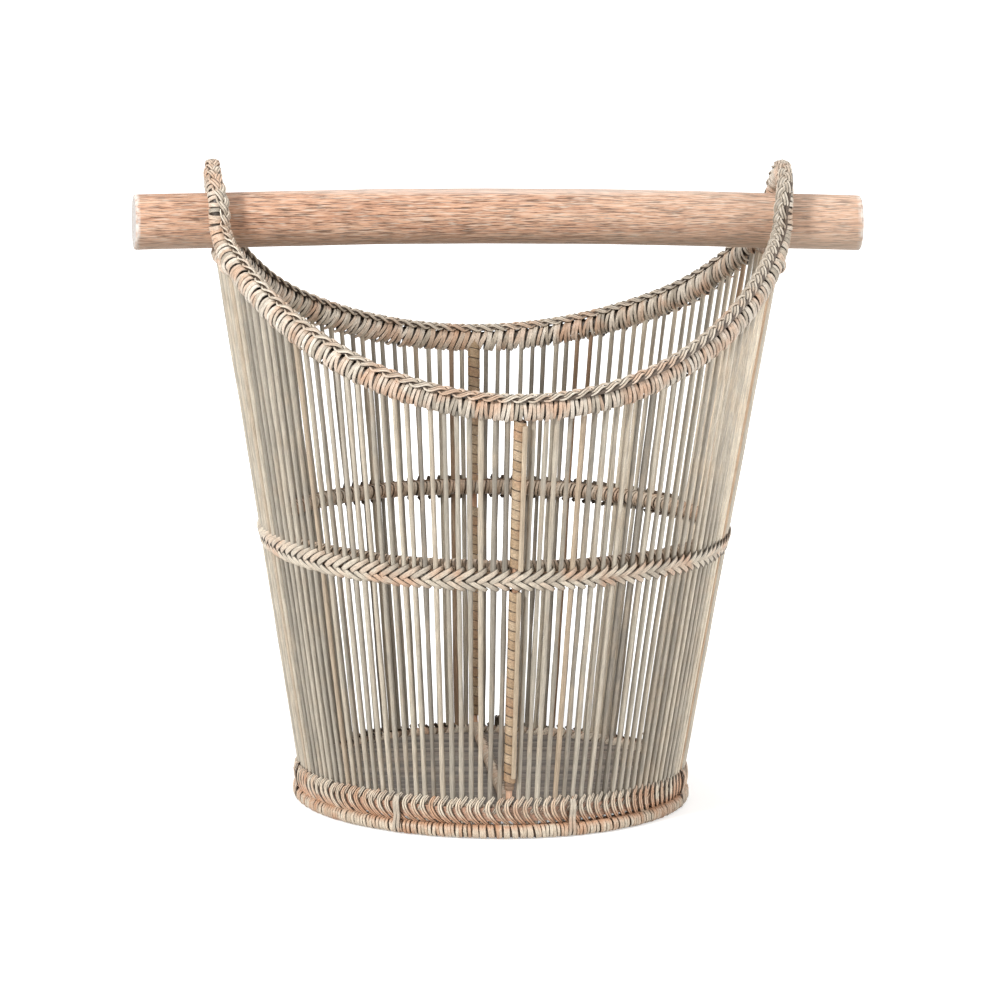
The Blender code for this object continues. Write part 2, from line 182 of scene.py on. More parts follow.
# %% Light the basket softly from the upper left
WHITE = (1.0, 1.0, 1.0, 1.0)
CHALK = (0.78, 0.78, 0.78, 1.0)
WORLD_FILL = 0.31
FLOOR_REACH = 12.0
BASKET_MIDDLE = Vector((0, 0, 0.2))


def seen_directly(tree):
    """1 for what the camera sees straight, in a mirror or through glass, else 0."""
    path = add(tree, "ShaderNodeLightPath")
    glossy = calc(tree, "MAXIMUM", outlet(path, "Is Camera Ray"), outlet(path, "Is Glossy Ray"))
    return calc(tree, "MAXIMUM", glossy, outlet(path, "Is Transmission Ray"))


def set_world():
    """White where it is seen, and a soft grey fill for what it lights."""
    world = bpy.data.worlds.new("studio")
    world.use_nodes = True
    tree = world.node_tree
    tree.nodes.clear()
    strength = spread(tree, seen_directly(tree), 0.0, 1.0, WORLD_FILL, 1.0)
    sky = add(tree, "ShaderNodeBackground", {"Color": WHITE, "Strength": strength})
    add(tree, "ShaderNodeOutputWorld", {"Surface": sky})
    bpy.context.scene.world = world


def soft_lamp(name, place, size, watts):
    """A square lamp that looks at the middle of the basket."""
    data = bpy.data.lights.new(name, "AREA")
    data.size = size
    data.energy = watts
    lamp = new_object(name, data)
    lamp.location = place
    lamp.rotation_euler = (BASKET_MIDDLE - Vector(place)).to_track_quat("-Z", "Y").to_euler()


def set_floor():
    """A wide white floor that keeps the shadow and otherwise shows as white."""
    mesh = bpy.data.meshes.new("floor")
    corners = [(x * FLOOR_REACH, y * FLOOR_REACH, 0) for x, y in ((-1, -1), (1, -1), (1, 1), (-1, 1))]
    mesh.from_pydata(corners, [], [(0, 1, 2, 3)])
    floor = new_object("studio_floor", mesh)
    material, tree = new_material("studio_floor")
    chalk = add(tree, "ShaderNodeBsdfDiffuse", {"Color": CHALK})
    far = vector(tree, "LENGTH", outlet(add(tree, "ShaderNodeTexCoord"), "Object"))
    more = spread(tree, far, 0.25, 0.9, 0.46, 1.0)
    glow = add(tree, "ShaderNodeEmission", {"Color": WHITE, "Strength": more})
    both = add(tree, "ShaderNodeAddShader", {0: chalk, 1: glow})
    shown = add(tree, "ShaderNodeMixShader", {"Fac": seen_directly(tree), 1: chalk, 2: both})
    add(tree, "ShaderNodeOutputMaterial", {"Surface": shown})
    mesh.materials.append(material)


set_world()
set_floor()
soft_lamp("key_lamp", (-1.9, -1.7, 1.9), 0.55, 84)
soft_lamp("top_lamp", (0.3, 0.4, 2.6), 1.8, 24)
soft_lamp("fill_lamp", (2.3, -1.2, 1.3), 1.4, 37)
bpy.context.scene.view_settings.view_transform = "Standard"
print("studio: white world,", sum(o.type == "LIGHT" for o in bpy.context.scene.objects), "lamps")

# %% [markdown]
# ## Cane and rattan
# Every strip is split from the same plant, yet no two have one colour: some are cream, some
# tan, some salmon where the light reached them. So each strip carries a number called tone,
# and the material turns it into a colour. The fine lines run along a strip, never across it,
# so a second attribute, grain, holds a position that is stretched along the strip. A third,
# edge, is 1 on a strip's edges, where the finish paints shade. A finish may also paint light
# or shade towards the basket's right and its back, and may be warmer at one height.
# The material reads only these and Object coordinates, so it travels with the mesh.

# %% Make a cane finish


def colour_ramp(tree, value, stops):
    """Colours at places from 0 to 1, smoothly joined."""
    item = add(tree, "ShaderNodeValToRGB", {"Fac": value})
    ramp = item.color_ramp
    while len(ramp.elements) < len(stops):
        ramp.elements.new(0.5)
    for element, (place, colour) in zip(ramp.elements, stops):
        element.position = place
        element.color = (*colour, 1)
    return outlet(item, "Color")


def mixed(tree, share, first, second, way="MIX"):
    """Two colours mixed by a share."""
    return outlet(add(tree, "ShaderNodeMix", {0: share, 1: first, 2: second}, data_type="RGBA",
                      blend_type=way))


def number_on(tree, label, kind="Fac"):
    """A number or vector stored on the piece's points."""
    return outlet(add(tree, "ShaderNodeAttribute", attribute_name=label), kind)


def set_surface(tree, colour, rough, height, depth, gloss):
    """The shader with its bump, joined to the material's output."""
    bump = add(tree, "ShaderNodeBump", {"Height": height, "Distance": 0.0004, "Strength": depth})
    shader = add(tree, "ShaderNodeBsdfPrincipled", {"Base Color": colour, "Roughness": rough, "Normal": bump,
                                                    "Specular IOR Level": gloss})
    add(tree, "ShaderNodeOutputMaterial", {"Surface": shader})


def cane(name, stops, warm, warm_share=0.5, shade=0.24, right=1.0, behind=1.0, warm_level=None):
    """Split cane or a rattan rod: tones by strip, streaks along it, warm patches, painted shade on edges, and
    painted light or shade to the right and back.
    """
    material, tree = new_material(name)
    tone = number_on(tree, "tone")
    place = outlet(add(tree, "ShaderNodeTexCoord"), "Object")
    sides = add(tree, "ShaderNodeSeparateXYZ", {0: place})
    run = vector(tree, "ADD", number_on(tree, "grain", "Vector"), calc(tree, "MULTIPLY", tone, 61.0))
    streak = noise(tree, run, 2.6, 3.0, 0.65)
    hair = noise(tree, run, 7.0)
    patch = noise(tree, place, 52.0)
    speck = noise(tree, place, 900.0, 1.0)
    warmth = spread(tree, patch, 0.50, 0.66, 0.0, warm_share)
    if warm_level:
        apart = calc(tree, "ABSOLUTE", calc(tree, "SUBTRACT", outlet(sides, "Z"), warm_level))
        near = spread(tree, apart, 1.5 * MM, 4.5 * MM, warm_share, 0.0)
        near = calc(tree, "MULTIPLY", near, spread(tree, patch, 0.36, 0.5))
        warmth = calc(tree, "MAXIMUM", warmth, near)
    lit = spread(tree, streak, 0.30, 0.70, 0.56, 1.22)
    # Streaks, hairs and specks are the cane's own; the edge factor paints shade, and the X and Y ramps paint
    # light or shade towards the right and the back.
    for shading in (spread(tree, hair, 0.32, 0.68, 0.76, 1.16), spread(tree, speck, 0.25, 0.75, 0.93, 1.05),
                    spread(tree, number_on(tree, "edge"), 0.50, 0.95, 1.0, shade),
                    spread(tree, outlet(sides, "X"), 0.05, 0.13, 1.0, right),
                    spread(tree, outlet(sides, "Y"), 0.02, 0.10, 1.0, behind)):
        lit = calc(tree, "MULTIPLY", lit, shading)
    base = mixed(tree, warmth, colour_ramp(tree, tone, stops), (*warm, 1))
    base = mixed(tree, 1.0, base, lit, "MULTIPLY")
    relief = calc(tree, "MULTIPLY_ADD", streak, 0.7, calc(tree, "MULTIPLY", hair, 0.3))
    set_surface(tree, base, spread(tree, streak, 0.3, 0.7, 0.58, 0.38), relief, 0.45, 0.5)
    return material


# %% Mix the cane finishes
BEIGE = (0.58, 0.49, 0.385)
TAN = (0.50, 0.385, 0.27)
SALMON = (0.68, 0.39, 0.235)
BARK = (0.22, 0.14, 0.085)

# Where a finish sets right or behind, that paints light or shade into its colour towards the basket's right
# or back; shade sets how dark the painted edge shade is.
rim_cane = cane("rim_cane", [(0.0, (0.40, 0.345, 0.275)), (0.2, (0.57, 0.485, 0.38)),
                             (0.65, (0.86, 0.765, 0.645)), (0.85, (0.74, 0.58, 0.445)),
                             (1.0, (0.62, 0.44, 0.31))], SALMON, 0.6, behind=1.12)
braid_cane = cane("braid_cane", [(0.0, (0.55, 0.46, 0.36)), (0.4, (0.68, 0.58, 0.46)),
                                 (1.0, (0.85, 0.75, 0.62))], SALMON, 0.55, shade=0.14, right=0.86)
stave_rattan = cane("stave_rattan", [(0.0, (0.27, 0.235, 0.19)), (0.25, (0.42, 0.375, 0.305)),
                                     (0.6, (0.53, 0.47, 0.38)), (0.85, (0.63, 0.555, 0.44)),
                                     (0.95, TAN), (1.0, (0.36, 0.22, 0.13))],
                    (0.54, 0.43, 0.31), 0.4, right=1.38, behind=0.96)
band_cane = cane("band_cane", [(0.0, (0.53, 0.45, 0.355)), (0.6, (0.76, 0.665, 0.53)),
                               (1.0, (0.69, 0.54, 0.41))], SALMON, 0.65)
FOOT_TONES = [(0.0, (0.67, 0.54, 0.40)), (0.4, (0.88, 0.76, 0.60)), (0.85, (0.84, 0.66, 0.49)),
              (1.0, (0.68, 0.445, 0.29))]
foot_cane = cane("foot_cane", FOOT_TONES, (0.66, 0.35, 0.20), 0.8, right=1.2, warm_level=10.5 * MM)
RING_TONES = [(place, tuple(0.95 * part for part in colour)) for place, colour in FOOT_TONES]
ring_cane = cane("ring_cane", RING_TONES, (0.62, 0.33, 0.185), 0.8, shade=0.42, right=0.84,
                 warm_level=9.5 * MM)
hoop_cane = cane("hoop_cane", [(0.0, (0.41, 0.30, 0.21)), (0.5, (0.56, 0.43, 0.315)), (1.0, BEIGE)],
                 (0.50, 0.30, 0.19), 0.6)
stake_cane = cane("stake_cane", [(0.0, (0.37, 0.24, 0.135)), (0.5, (0.48, 0.335, 0.20)),
                                 (1.0, (0.55, 0.41, 0.27))], (0.50, 0.28, 0.16), 0.5)
cover_cane = cane("cover_cane", [(0.0, (0.48, 0.37, 0.25)), (1.0, (0.60, 0.49, 0.355))], TAN, 0.5)
core_rattan = cane("core_rattan", [(0.0, BARK), (1.0, (0.34, 0.22, 0.14))], BARK, 0.5, shade=1.0)
# Near black: painted shadow, for what shows through the rim's slits and the plait's holes.
painted_shadow_core = cane("painted_shadow_core", [(0.0, (0.055, 0.038, 0.026)), (1.0, (0.11, 0.075, 0.05))], BARK, 0.2,
                 shade=1.0)
salmon_core = cane("salmon_core", [(0.0, (0.62, 0.36, 0.24)), (1.0, SALMON)], (0.74, 0.50, 0.35), 0.5,
                   shade=1.0)
floor_rattan = cane("floor_rattan", [(0.0, (0.09, 0.075, 0.06)), (0.5, (0.17, 0.143, 0.116)),
                                     (1.0, (0.26, 0.217, 0.175))], (0.19, 0.13, 0.09), 0.45, right=1.8)
print("finishes:", len([m for m in bpy.data.materials if m.name.endswith(("cane", "rattan", "core"))]))

# %% [markdown]
# ## Tools for rods and strips
# A piece starts as points, edges or faces, with numbers stored on the points. A strip is the
# flat cane itself, a low section drawn along a line: rounded, flat, crowned, or crowned twice
# like two canes side by side. Running a tree puts it on an object, sets its inputs by their
# identifiers, and turns the result into a plain mesh.

# %% Points, edges and faces that carry numbers


def mesh_piece(name, points, edges=(), faces=(), **numbers):
    """A piece of points, edges and faces, with numbers stored on its points."""
    mesh = bpy.data.meshes.new(name)
    mesh.from_pydata([tuple(point) for point in points], edges, faces)
    for label, values in numbers.items():
        values = np.asarray(values, float)
        kind, field = ("FLOAT", "value") if values.ndim == 1 else ("FLOAT_VECTOR", "vector")
        layer = mesh.attributes.new(label, kind, "POINT")
        layer.data.foreach_set(field, values.astype(np.float32).ravel())
    return new_object(name, mesh)


def chain_piece(name, lines, closed=False, **numbers):
    """Lines of points as chains of edges, for a tree to sweep."""
    edges, start = [], 0
    for size in map(len, lines):
        edges += [(start + i, start + (i + 1) % size) for i in range(size if closed else size - 1)]
        start += size
    return mesh_piece(name, np.concatenate(lines), edges, **numbers)


def ring_faces(rings, corners, closed):
    """Four-sided faces between rings of points that follow each other."""
    faces = []
    for here in range(rings if closed else rings - 1):
        after = (here + 1) % rings
        for corner in range(corners):
            beside = (corner + 1) % corners
            faces.append((here * corners + corner, here * corners + beside, after * corners + beside,
                          after * corners + corner))
    return faces


def smooth(mesh, sharp=48):
    """Smooth shading, except where faces meet at more than an angle in degrees."""
    mesh.shade_smooth()
    mesh.set_sharp_from_angle(angle=math.radians(sharp))


# %% New trees, and running them


def new_tree(name, **inputs):
    """An empty tree with named inputs, and a function that gives an input by its name."""
    tree = bpy.data.node_groups.new(name, "GeometryNodeTree")
    tree.interface.new_socket("Geometry", in_out="INPUT", socket_type="NodeSocketGeometry")
    for label, value in inputs.items():
        kind = {int: "Int", float: "Float"}.get(type(value), value)
        socket = tree.interface.new_socket(label, in_out="INPUT", socket_type="NodeSocket" + kind)
        if kind in ("Int", "Float"):
            socket.default_value = value
    tree.interface.new_socket("Geometry", in_out="OUTPUT", socket_type="NodeSocketGeometry")
    start = tree.nodes.new("NodeGroupInput")
    return tree, lambda label: outlet(start, label)


def close_tree(tree, given, geometry):
    """Realize Instances and Set Material, then the output."""
    solid = add(tree, "GeometryNodeRealizeInstances", {"Geometry": geometry})
    dressed = add(tree, "GeometryNodeSetMaterial", {"Geometry": solid, "Material": given("finish")})
    add(tree, "NodeGroupOutput", {"Geometry": dressed})
    print(tree.name, "tree:", len(tree.nodes), "nodes")
    return tree


def run_tree(piece, tree, **values):
    """Put the tree on the piece, bake it to a plain mesh, and take the modifier off."""
    change = piece.modifiers.new(tree.name, "NODES")
    change.node_group = tree
    for socket in tree.interface.items_tree:
        if socket.in_out == "INPUT" and socket.name in values:
            change[socket.identifier] = values[socket.name]
    graph = bpy.context.evaluated_depsgraph_get()
    mesh = bpy.data.meshes.new_from_object(piece.evaluated_get(graph))
    piece.modifiers.clear()
    piece.data = mesh
    smooth(mesh)


def triangles(piece):
    """How many triangles a piece has."""
    return sum(len(face.vertices) - 2 for face in piece.data.polygons)


def settle(piece, nodes=(), body="basket"):
    """Hide the model parts that a finished piece stands for, and attach it to its body."""
    if nodes:
        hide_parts(*nodes)
    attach(piece, body)
    print(f"{piece.name}: {triangles(piece)} triangles")


# %% What several trees share


def read(tree, label, kind="FLOAT"):
    """A number or vector stored on the points."""
    return outlet(add(tree, "GeometryNodeInputNamedAttribute", {"Name": label}, data_type=kind), "Attribute")


def store(tree, geometry, label, value, kind="FLOAT", domain="POINT"):
    """The geometry with a value stored on it."""
    return add(tree, "GeometryNodeStoreNamedAttribute", {"Geometry": geometry, "Name": label, "Value": value},
               data_type=kind, domain=domain)


def lot(tree, given, low=0.0, high=1.0, more_seed=0, **feeds):
    """A random number for each point or chain, from low to high."""
    seed = calc(tree, "ADD", given("seed"), float(more_seed)) if more_seed else given("seed")
    return add(tree, "FunctionNodeRandomValue", {"Min": low, "Max": high, "Seed": seed, **feeds})


def lot_about(tree, given, reach, more_seed=0):
    """A random number as far under 0 as over it."""
    return lot(tree, given, calc(tree, "MULTIPLY", reach, -1.0), reach, more_seed)


def chain_lot(tree, given):
    """One random number for each chain."""
    return lot(tree, given, ID=outlet(add(tree, "GeometryNodeCurveOfPoint"), "Curve Index"))


def swept_rod(tree, given, rail, own, sides, across, up, grains, **scale):
    """A round section swept along a rail, with its tone and grain, and the section's side place."""
    run = outlet(add(tree, "GeometryNodeSplineParameter"), "Length")
    rail = store(tree, store(tree, rail, "run", run), "tone", own)
    ring = add(tree, "GeometryNodeCurvePrimitiveCircle", {"Resolution": sides, "Radius": 1.0})
    ring = store(tree, ring, "section", add(tree, "GeometryNodeInputPosition"), "FLOAT_VECTOR")
    ring = add(tree, "GeometryNodeTransform", {"Geometry": ring, "Scale": combined(tree, up, across, 1.0)})
    swept = add(tree, "GeometryNodeCurveToMesh", {"Curve": rail, "Profile Curve": ring, "Fill Caps": True,
                                                  **scale})
    section = add(tree, "ShaderNodeSeparateXYZ", {0: read(tree, "section", "FLOAT_VECTOR")})
    grain = combined(tree, calc(tree, "MULTIPLY", outlet(section, "X"), grains[0]),
                     calc(tree, "MULTIPLY", outlet(section, "Y"), grains[1]),
                     calc(tree, "MULTIPLY", read(tree, "run"), given("stretch")))
    return store(tree, swept, "grain", grain, "FLOAT_VECTOR"), outlet(section, "Y")


def laid_copies(tree, given, points, shape, more_seed, **feeds):
    """An object at every point, each copy with a tone of its own."""
    model = add(tree, "GeometryNodeObjectInfo", {"Object": given(shape), "As Instance": True})
    laid = add(tree, "GeometryNodeInstanceOnPoints", {"Points": points, "Instance": outlet(model, "Geometry"),
                                                      **feeds})
    return store(tree, laid, "tone", lot(tree, given, more_seed=more_seed), domain="INSTANCE")


# %% One strip of flat cane
# Each section point is across, rise and edge; edge marks where the finish paints shade on the flanks and in a
# twin strip's groove.
ROUNDED = [(-0.5, 0.15, 1.0), (-0.34, 1.0, 0.3), (0.0, 0.86, 0.55), (0.34, 1.0, 0.3), (0.5, 0.15, 1.0)]
FLAT = [(-0.5, 0.5, 1.0), (-0.465, 1.0, 0.9), (-0.40, 1.0, 0.3), (0.40, 1.0, 0.3), (0.465, 1.0, 0.9),
        (0.5, 0.5, 1.0)]
CROWNED = [(-0.5, 0.0, 1.0), (-0.44, 0.75, 0.9), (-0.36, 1.0, 0.3), (0.0, 1.08, 0.3), (0.36, 1.0, 0.3),
           (0.44, 0.75, 0.9), (0.5, 0.0, 1.0)]
TWIN = [(-0.5, 0.0, 1.0), (-0.44, 0.75, 0.9), (-0.34, 1.0, 0.3), (-0.12, 0.98, 0.35), (0.0, 0.45, 1.1),
        (0.12, 0.98, 0.35), (0.34, 1.0, 0.3), (0.44, 0.75, 0.9), (0.5, 0.0, 1.0)]

GRAINS_ACROSS = 4.2
GRAIN_LENGTH = 9 * MM


def unit(vectors):
    """Rows of vectors, each made 1 long."""
    return vectors / np.linalg.norm(vectors, axis=1)[:, None]


def running(line):
    """How far along a line each of its points is."""
    return np.concatenate([[0], np.cumsum(np.linalg.norm(np.diff(line, axis=0), axis=1))])


def strip_mesh(name, line, outs, width, thickness, closed=False, taper=0.0, profile=CROWNED):
    """A flat strip along a line, with its face on the side that outs point to."""
    count, size = len(line), len(profile)
    ahead = np.roll(line, -1, 0) - np.roll(line, 1, 0) if closed else np.gradient(line, axis=0)
    side = unit(np.cross(unit(ahead), outs))
    slim = 1 - taper * np.abs(2 * np.linspace(0, 1, count) - 1) ** 3
    across, rise, edge = np.array(profile).T
    points = (line[:, None] + side[:, None] * across[:, None] * width * slim[:, None, None]
              + outs[:, None] * rise[:, None] * thickness)
    turn = math.tau * np.arange(count) / count
    grain = np.empty(points.shape)
    grain[..., 0] = across * GRAINS_ACROSS
    grain[..., 1] = np.cos(turn)[:, None] * 0.9 if closed else rise * 0.4
    grain[..., 2] = (np.sin(turn) * 0.9 if closed else running(line) / GRAIN_LENGTH)[:, None]
    faces = ring_faces(count, size, closed)
    if not closed:
        faces += [tuple(range(size))[::-1], tuple(range(size * (count - 1), size * count))]
    return mesh_piece(name, points.reshape(-1, 3), [], faces, edge=np.tile(edge, count),
                      grain=grain.reshape(-1, 3))


print("tools ready")

# %% [markdown]
# ## The shape of the basket
# The wall is a cone of straight staves. The rim is one rod that runs low across the front,
# climbs to an upright eye at the side, comes down again, and does the same at the back. These
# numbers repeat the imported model, so every strip lies on what carries it. Only the rim's low
# middle follows the photograph further: a little higher in front, and lower at the back.

# %% Measure the frame
bar_low, bar_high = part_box("handle_bar")
BAR_RADIUS = (bar_high.z - bar_low.z) / 2
BAR_HEIGHT = (bar_high.z + bar_low.z) / 2
GAP = 0.3 * MM
FOOT_RADIUS = 116 * MM
WALL_FLARE = 56.4 * MM
STAVES = 132
STEP = math.tau / STAVES
STAVE_SHARE = 0.6
STAVE_RADIUS = FOOT_RADIUS * STEP * STAVE_SHARE / 2
HOOP_RADIUS = 3.9 * MM
RIM_LOW = 267 * MM
EYE_BAR_ANGLE = math.radians(15.5)
STRAND_ANGLE = EYE_BAR_ANGLE * 0.9
EYE_BAR_HEIGHT = BAR_HEIGHT - BAR_RADIUS - GAP - HOOP_RADIUS
RIM_RISE = (EYE_BAR_HEIGHT - RIM_LOW) / (1 - math.sin(EYE_BAR_ANGLE))
WALL_SLOPE = WALL_FLARE / EYE_BAR_HEIGHT
PLAY_BESIDE = 5.1 * MM
PLAY_ABOVE = 8.6 * MM
EYE_HALF = BAR_RADIUS + PLAY_BESIDE + HOOP_RADIUS
EYE_TOP = BAR_HEIGHT + BAR_RADIUS + PLAY_ABOVE + HOOP_RADIUS
FRONT_LIFT = 1.6 * MM
BACK_DROP = 5.0 * MM
SHIFT_FADE = 40 * MM
ARCH_POINTS = 25
LEG_POINTS = 21
STRAND_POINTS = 160


def wall_radius(height):
    """Radius of the staves' centre lines."""
    return FOOT_RADIUS + WALL_SLOPE * height


def strand_point(angle):
    """Distance from the bar's plane, and height, of the slanting rim at a side angle."""
    height = RIM_LOW + RIM_RISE * (1 - np.sin(angle))
    return np.stack([wall_radius(height) * np.sin(angle), height], -1)


def rim_shift(height, y):
    """How far the rim stands higher in front and hangs lower behind than the level model."""
    share = np.clip((EYE_BAR_HEIGHT - height) / SHIFT_FADE, 0, 1)
    return np.where(y < 0, FRONT_LIFT, -BACK_DROP) * share**2 * (3 - 2 * share)


def rim_quarter():
    """Distance and height pairs from the top of an eye to the low middle."""
    turns = np.linspace(math.pi / 2, 0, ARCH_POINTS)[:-1]
    arch_height = EYE_TOP - EYE_HALF
    arch = np.stack([EYE_HALF * np.cos(turns), arch_height + EYE_HALF * np.sin(turns)], -1)
    leg, foot = np.array([EYE_HALF, arch_height]), strand_point(STRAND_ANGLE)
    way = strand_point(STRAND_ANGLE / 2) - foot
    way /= np.linalg.norm(way)
    reach = np.linalg.norm(leg - foot) * 0.4
    handles = [leg, leg - np.array([0, reach]), foot + way * reach, foot]
    bend = []
    for share in np.linspace(0, 1, LEG_POINTS)[:-1]:
        weights = [(1 - share) ** 3, 3 * share * (1 - share) ** 2, 3 * share**2 * (1 - share), share**3]
        bend.append(sum(h * w for h, w in zip(handles, weights)))
    strand = strand_point(np.linspace(STRAND_ANGLE, math.pi / 2, STRAND_POINTS))
    return np.concatenate([arch, bend, strand])


def rim_loop(spacing=0.5 * MM):
    """The rim's closed centre line at even spacing, and how far along it each point is."""
    quarter = rim_quarter()
    radius = wall_radius(np.minimum(quarter[:, 1], BAR_HEIGHT))
    x = np.sqrt(np.maximum(radius**2 - quarter[:, 0] ** 2, 0))
    x[-1] = 0
    side = np.stack([x, quarter[:, 0], quarter[:, 1]], -1)
    parts = []
    for right, back, points in [(1, -1, side), (-1, -1, side[::-1]), (-1, 1, side), (1, 1, side[::-1])]:
        parts.append((points * (right, back, 1))[:-1])
    closed = np.concatenate([*parts, parts[0][:1]])
    run = running(closed)
    places = np.linspace(0, run[-1], int(run[-1] / spacing), endpoint=False)
    loop = np.stack([np.interp(places, run, closed[:, axis]) for axis in range(3)], -1)
    loop[:, 2] += rim_shift(loop[:, 2], loop[:, 1])
    return places, loop, run[-1]


def frames_along(loop):
    """Way, outward and away directions along the rim; away points off the staves."""
    way = unit(np.roll(loop, -3, 0) - np.roll(loop, 3, 0))
    out = loop * (1, 1, 0)
    out = unit(out - way * np.sum(out * way, 1)[:, None])
    return way, out, np.cross(way, out)


rim_run, rim_line, RIM_LENGTH = rim_loop()
rim_way, rim_out, rim_away = frames_along(rim_line)


def on_rim(values, place):
    """A rim quantity at a running length."""
    place = np.mod(place, RIM_LENGTH)
    return np.stack([np.interp(place, rim_run, values[:, axis], period=RIM_LENGTH) for axis in range(3)], -1)


print("rim:", round(RIM_LENGTH * 1000), "mm round, from", round(RIM_LOW * 1000), "to",
      round(EYE_TOP * 1000), "mm up")

# %% [markdown]
# ## The staves
# The wall is rods set side by side, thinner than a pencil. None is quite straight or quite
# round, and each has its own grey or tan. One tree does all of it: every edge chain becomes a
# curve, noise bends it a little, and a circle is swept along it. The section's own position is
# stored before the sweep, so the streaks run along the rod without a seam.

# %% Build the rod tree


def rod_tree():
    """Chains of edges become round rods that may be a little crooked and uneven."""
    tree, given = new_tree("rods", radius=1.7 * MM, crooked=0.0, uneven=0.0, sides=10, seed=1, stretch=60.0,
                           finish="Material")
    rail = add(tree, "GeometryNodeMeshToCurve", {"Mesh": given("Geometry")})
    spot = vector(tree, "ADD", add(tree, "GeometryNodeInputPosition"), combined(tree, given("seed")))
    bend = vector(tree, "SUBTRACT", outlet(noise(tree, spot, 17.0, 1.0), "Color"), (0.5, 0.5, 0.5))
    push = vector(tree, "SCALE", bend, given("crooked"))
    bent = add(tree, "GeometryNodeSetPosition", {"Geometry": rail, "Offset": push})
    swell = spread(tree, noise(tree, spot, 55.0), 0.2, 0.8, -1.0, 1.0)
    own = chain_lot(tree, given)
    share = calc(tree, "MULTIPLY_ADD", own, 0.2, calc(tree, "MULTIPLY", swell, 0.5))
    girth = calc(tree, "MULTIPLY_ADD", calc(tree, "SUBTRACT", share, 0.1), given("uneven"), 1.0)
    laid, _ = swept_rod(tree, given, bent, own, given("sides"), given("radius"), given("radius"), (1.6, 1.6),
                        Scale=girth)
    return close_tree(tree, given, laid)


rods = rod_tree()


def lay_rods(name, lines, finish, slot, nodes=(), closed=False, **values):
    """Round rods along lines, as one piece."""
    piece = chain_piece(name, lines, closed)
    run_tree(piece, rods, finish=finish, **values)
    settle(piece, nodes)


# %% [markdown]
# Each stave runs from the foot ring to just under the rim. The two stakes take the places of
# the staves at the front and back middle. The others stand a little off their even places,
# as staves that were pushed in one by one do.

# %% Set the staves
FOOT_TOP = 8.9 * MM
STAVE_POINTS = 12
STAVE_DRIFT = 0.10
STAVE_GRAIN = 26.0
STAVE_INTO_RIM = HOOP_RADIUS * 0.6
chance = np.random.default_rng(11)


def rim_drop(angle):
    """Height where a stave ends, under the rim hoop or an eye bar."""
    sine = abs(math.sin(angle))
    height = min(RIM_LOW + RIM_RISE * (1 - sine), EYE_BAR_HEIGHT)
    return height + float(rim_shift(height, math.sin(angle))) - STAVE_INTO_RIM


def stave_line(angle):
    """Points of one stave, from foot to rim."""
    line, drift = [], chance.uniform(-STAVE_DRIFT, STAVE_DRIFT, 2)
    for share in np.linspace(0, 1, STAVE_POINTS):
        height = FOOT_TOP + GAP + (rim_drop(angle) - FOOT_TOP) * share
        turn = angle + STEP * (drift[0] * (1 - share) + drift[1] * share) * min(1, 4 * share)
        radius = wall_radius(height)
        line.append((radius * math.cos(turn), radius * math.sin(turn), height))
    return line


staves = [stave_line(index * STEP) for index in range(STAVES) if index not in (STAVES // 4, 3 * STAVES // 4)]
lay_rods("wall_staves", staves, stave_rattan, "stave_rattan",
         [f"wall_panel_{number:02d}" for number in range(1, 23)], radius=1.55 * MM, crooked=0.9 * MM,
         uneven=0.6, sides=8, seed=3, stretch=STAVE_GRAIN)

# %% [markdown]
# ## Wound cane
# The rim, the hoops and the foot ring are rods wound with flat cane, turn beside turn. One
# turn is modelled once, as a ring of a strip with radius 1 and width 1. A thinner, slanted one
# is for the stakes and a squarer one for the foot ring. The tree lays a turn at every station,
# turned to the rod's way, and gives it its size, a little lean and its tone.

# %% Model the turns, and the tree that lays them
TURN_CORNERS = 14
TURN_THICKNESS = 0.12
FLAT_THICKNESS = 0.08
FLAT_SLANT = 0.15
angles = np.linspace(0, math.tau, TURN_CORNERS, endpoint=False)
circle = np.stack([np.cos(angles), np.sin(angles), np.zeros(TURN_CORNERS)], -1)
one_turn = strip_mesh("one_turn", circle * (1 - TURN_THICKNESS), circle, 1.0, TURN_THICKNESS, closed=True,
                      profile=ROUNDED)
slanted = circle * (1 - FLAT_THICKNESS) - np.outer(np.sin(angles), (0, 0, FLAT_SLANT))
flat_turn = strip_mesh("flat_turn", slanted, circle, 1.0, FLAT_THICKNESS, closed=True, profile=FLAT)
bulge = (circle[:, :2] ** 4).sum(1) ** (-1 / 4)
square_turn = strip_mesh("square_turn", circle * bulge[:, None] * (1 - TURN_THICKNESS), unit(circle**3), 1.0,
                         TURN_THICKNESS, closed=True, profile=ROUNDED)


def winding_tree():
    """A turn of cane at every point, along way, with x side out, and of its own size."""
    tree, given = new_tree("winding", turn="Object", lean=0.1, wobble=0.06, play=0.05, seed=1,
                           finish="Material")
    way, out, size = (read(tree, label, "FLOAT_VECTOR") for label in ("way", "out", "size"))
    square = add(tree, "FunctionNodeAxesToRotation", {"Primary Axis": way, "Secondary Axis": out},
                 primary_axis="Z", secondary_axis="X")
    lean = calc(tree, "ADD", lot_about(tree, given, given("wobble")), given("lean"))
    tip = lot_about(tree, given, given("wobble"), 7)
    twist = add(tree, "FunctionNodeEulerToRotation", {0: combined(tree, lean, tip)})
    turned = add(tree, "FunctionNodeRotateRotation", {0: square, 1: twist}, rotation_space="LOCAL")
    play = given("play")
    vary = lot(tree, given, calc(tree, "SUBTRACT", 1.0, play), calc(tree, "ADD", play, 1.0), 13)
    laid = laid_copies(tree, given, given("Geometry"), "turn", 29, Rotation=turned,
                       Scale=vector(tree, "SCALE", size, vary))
    return close_tree(tree, given, laid)


winding = winding_tree()


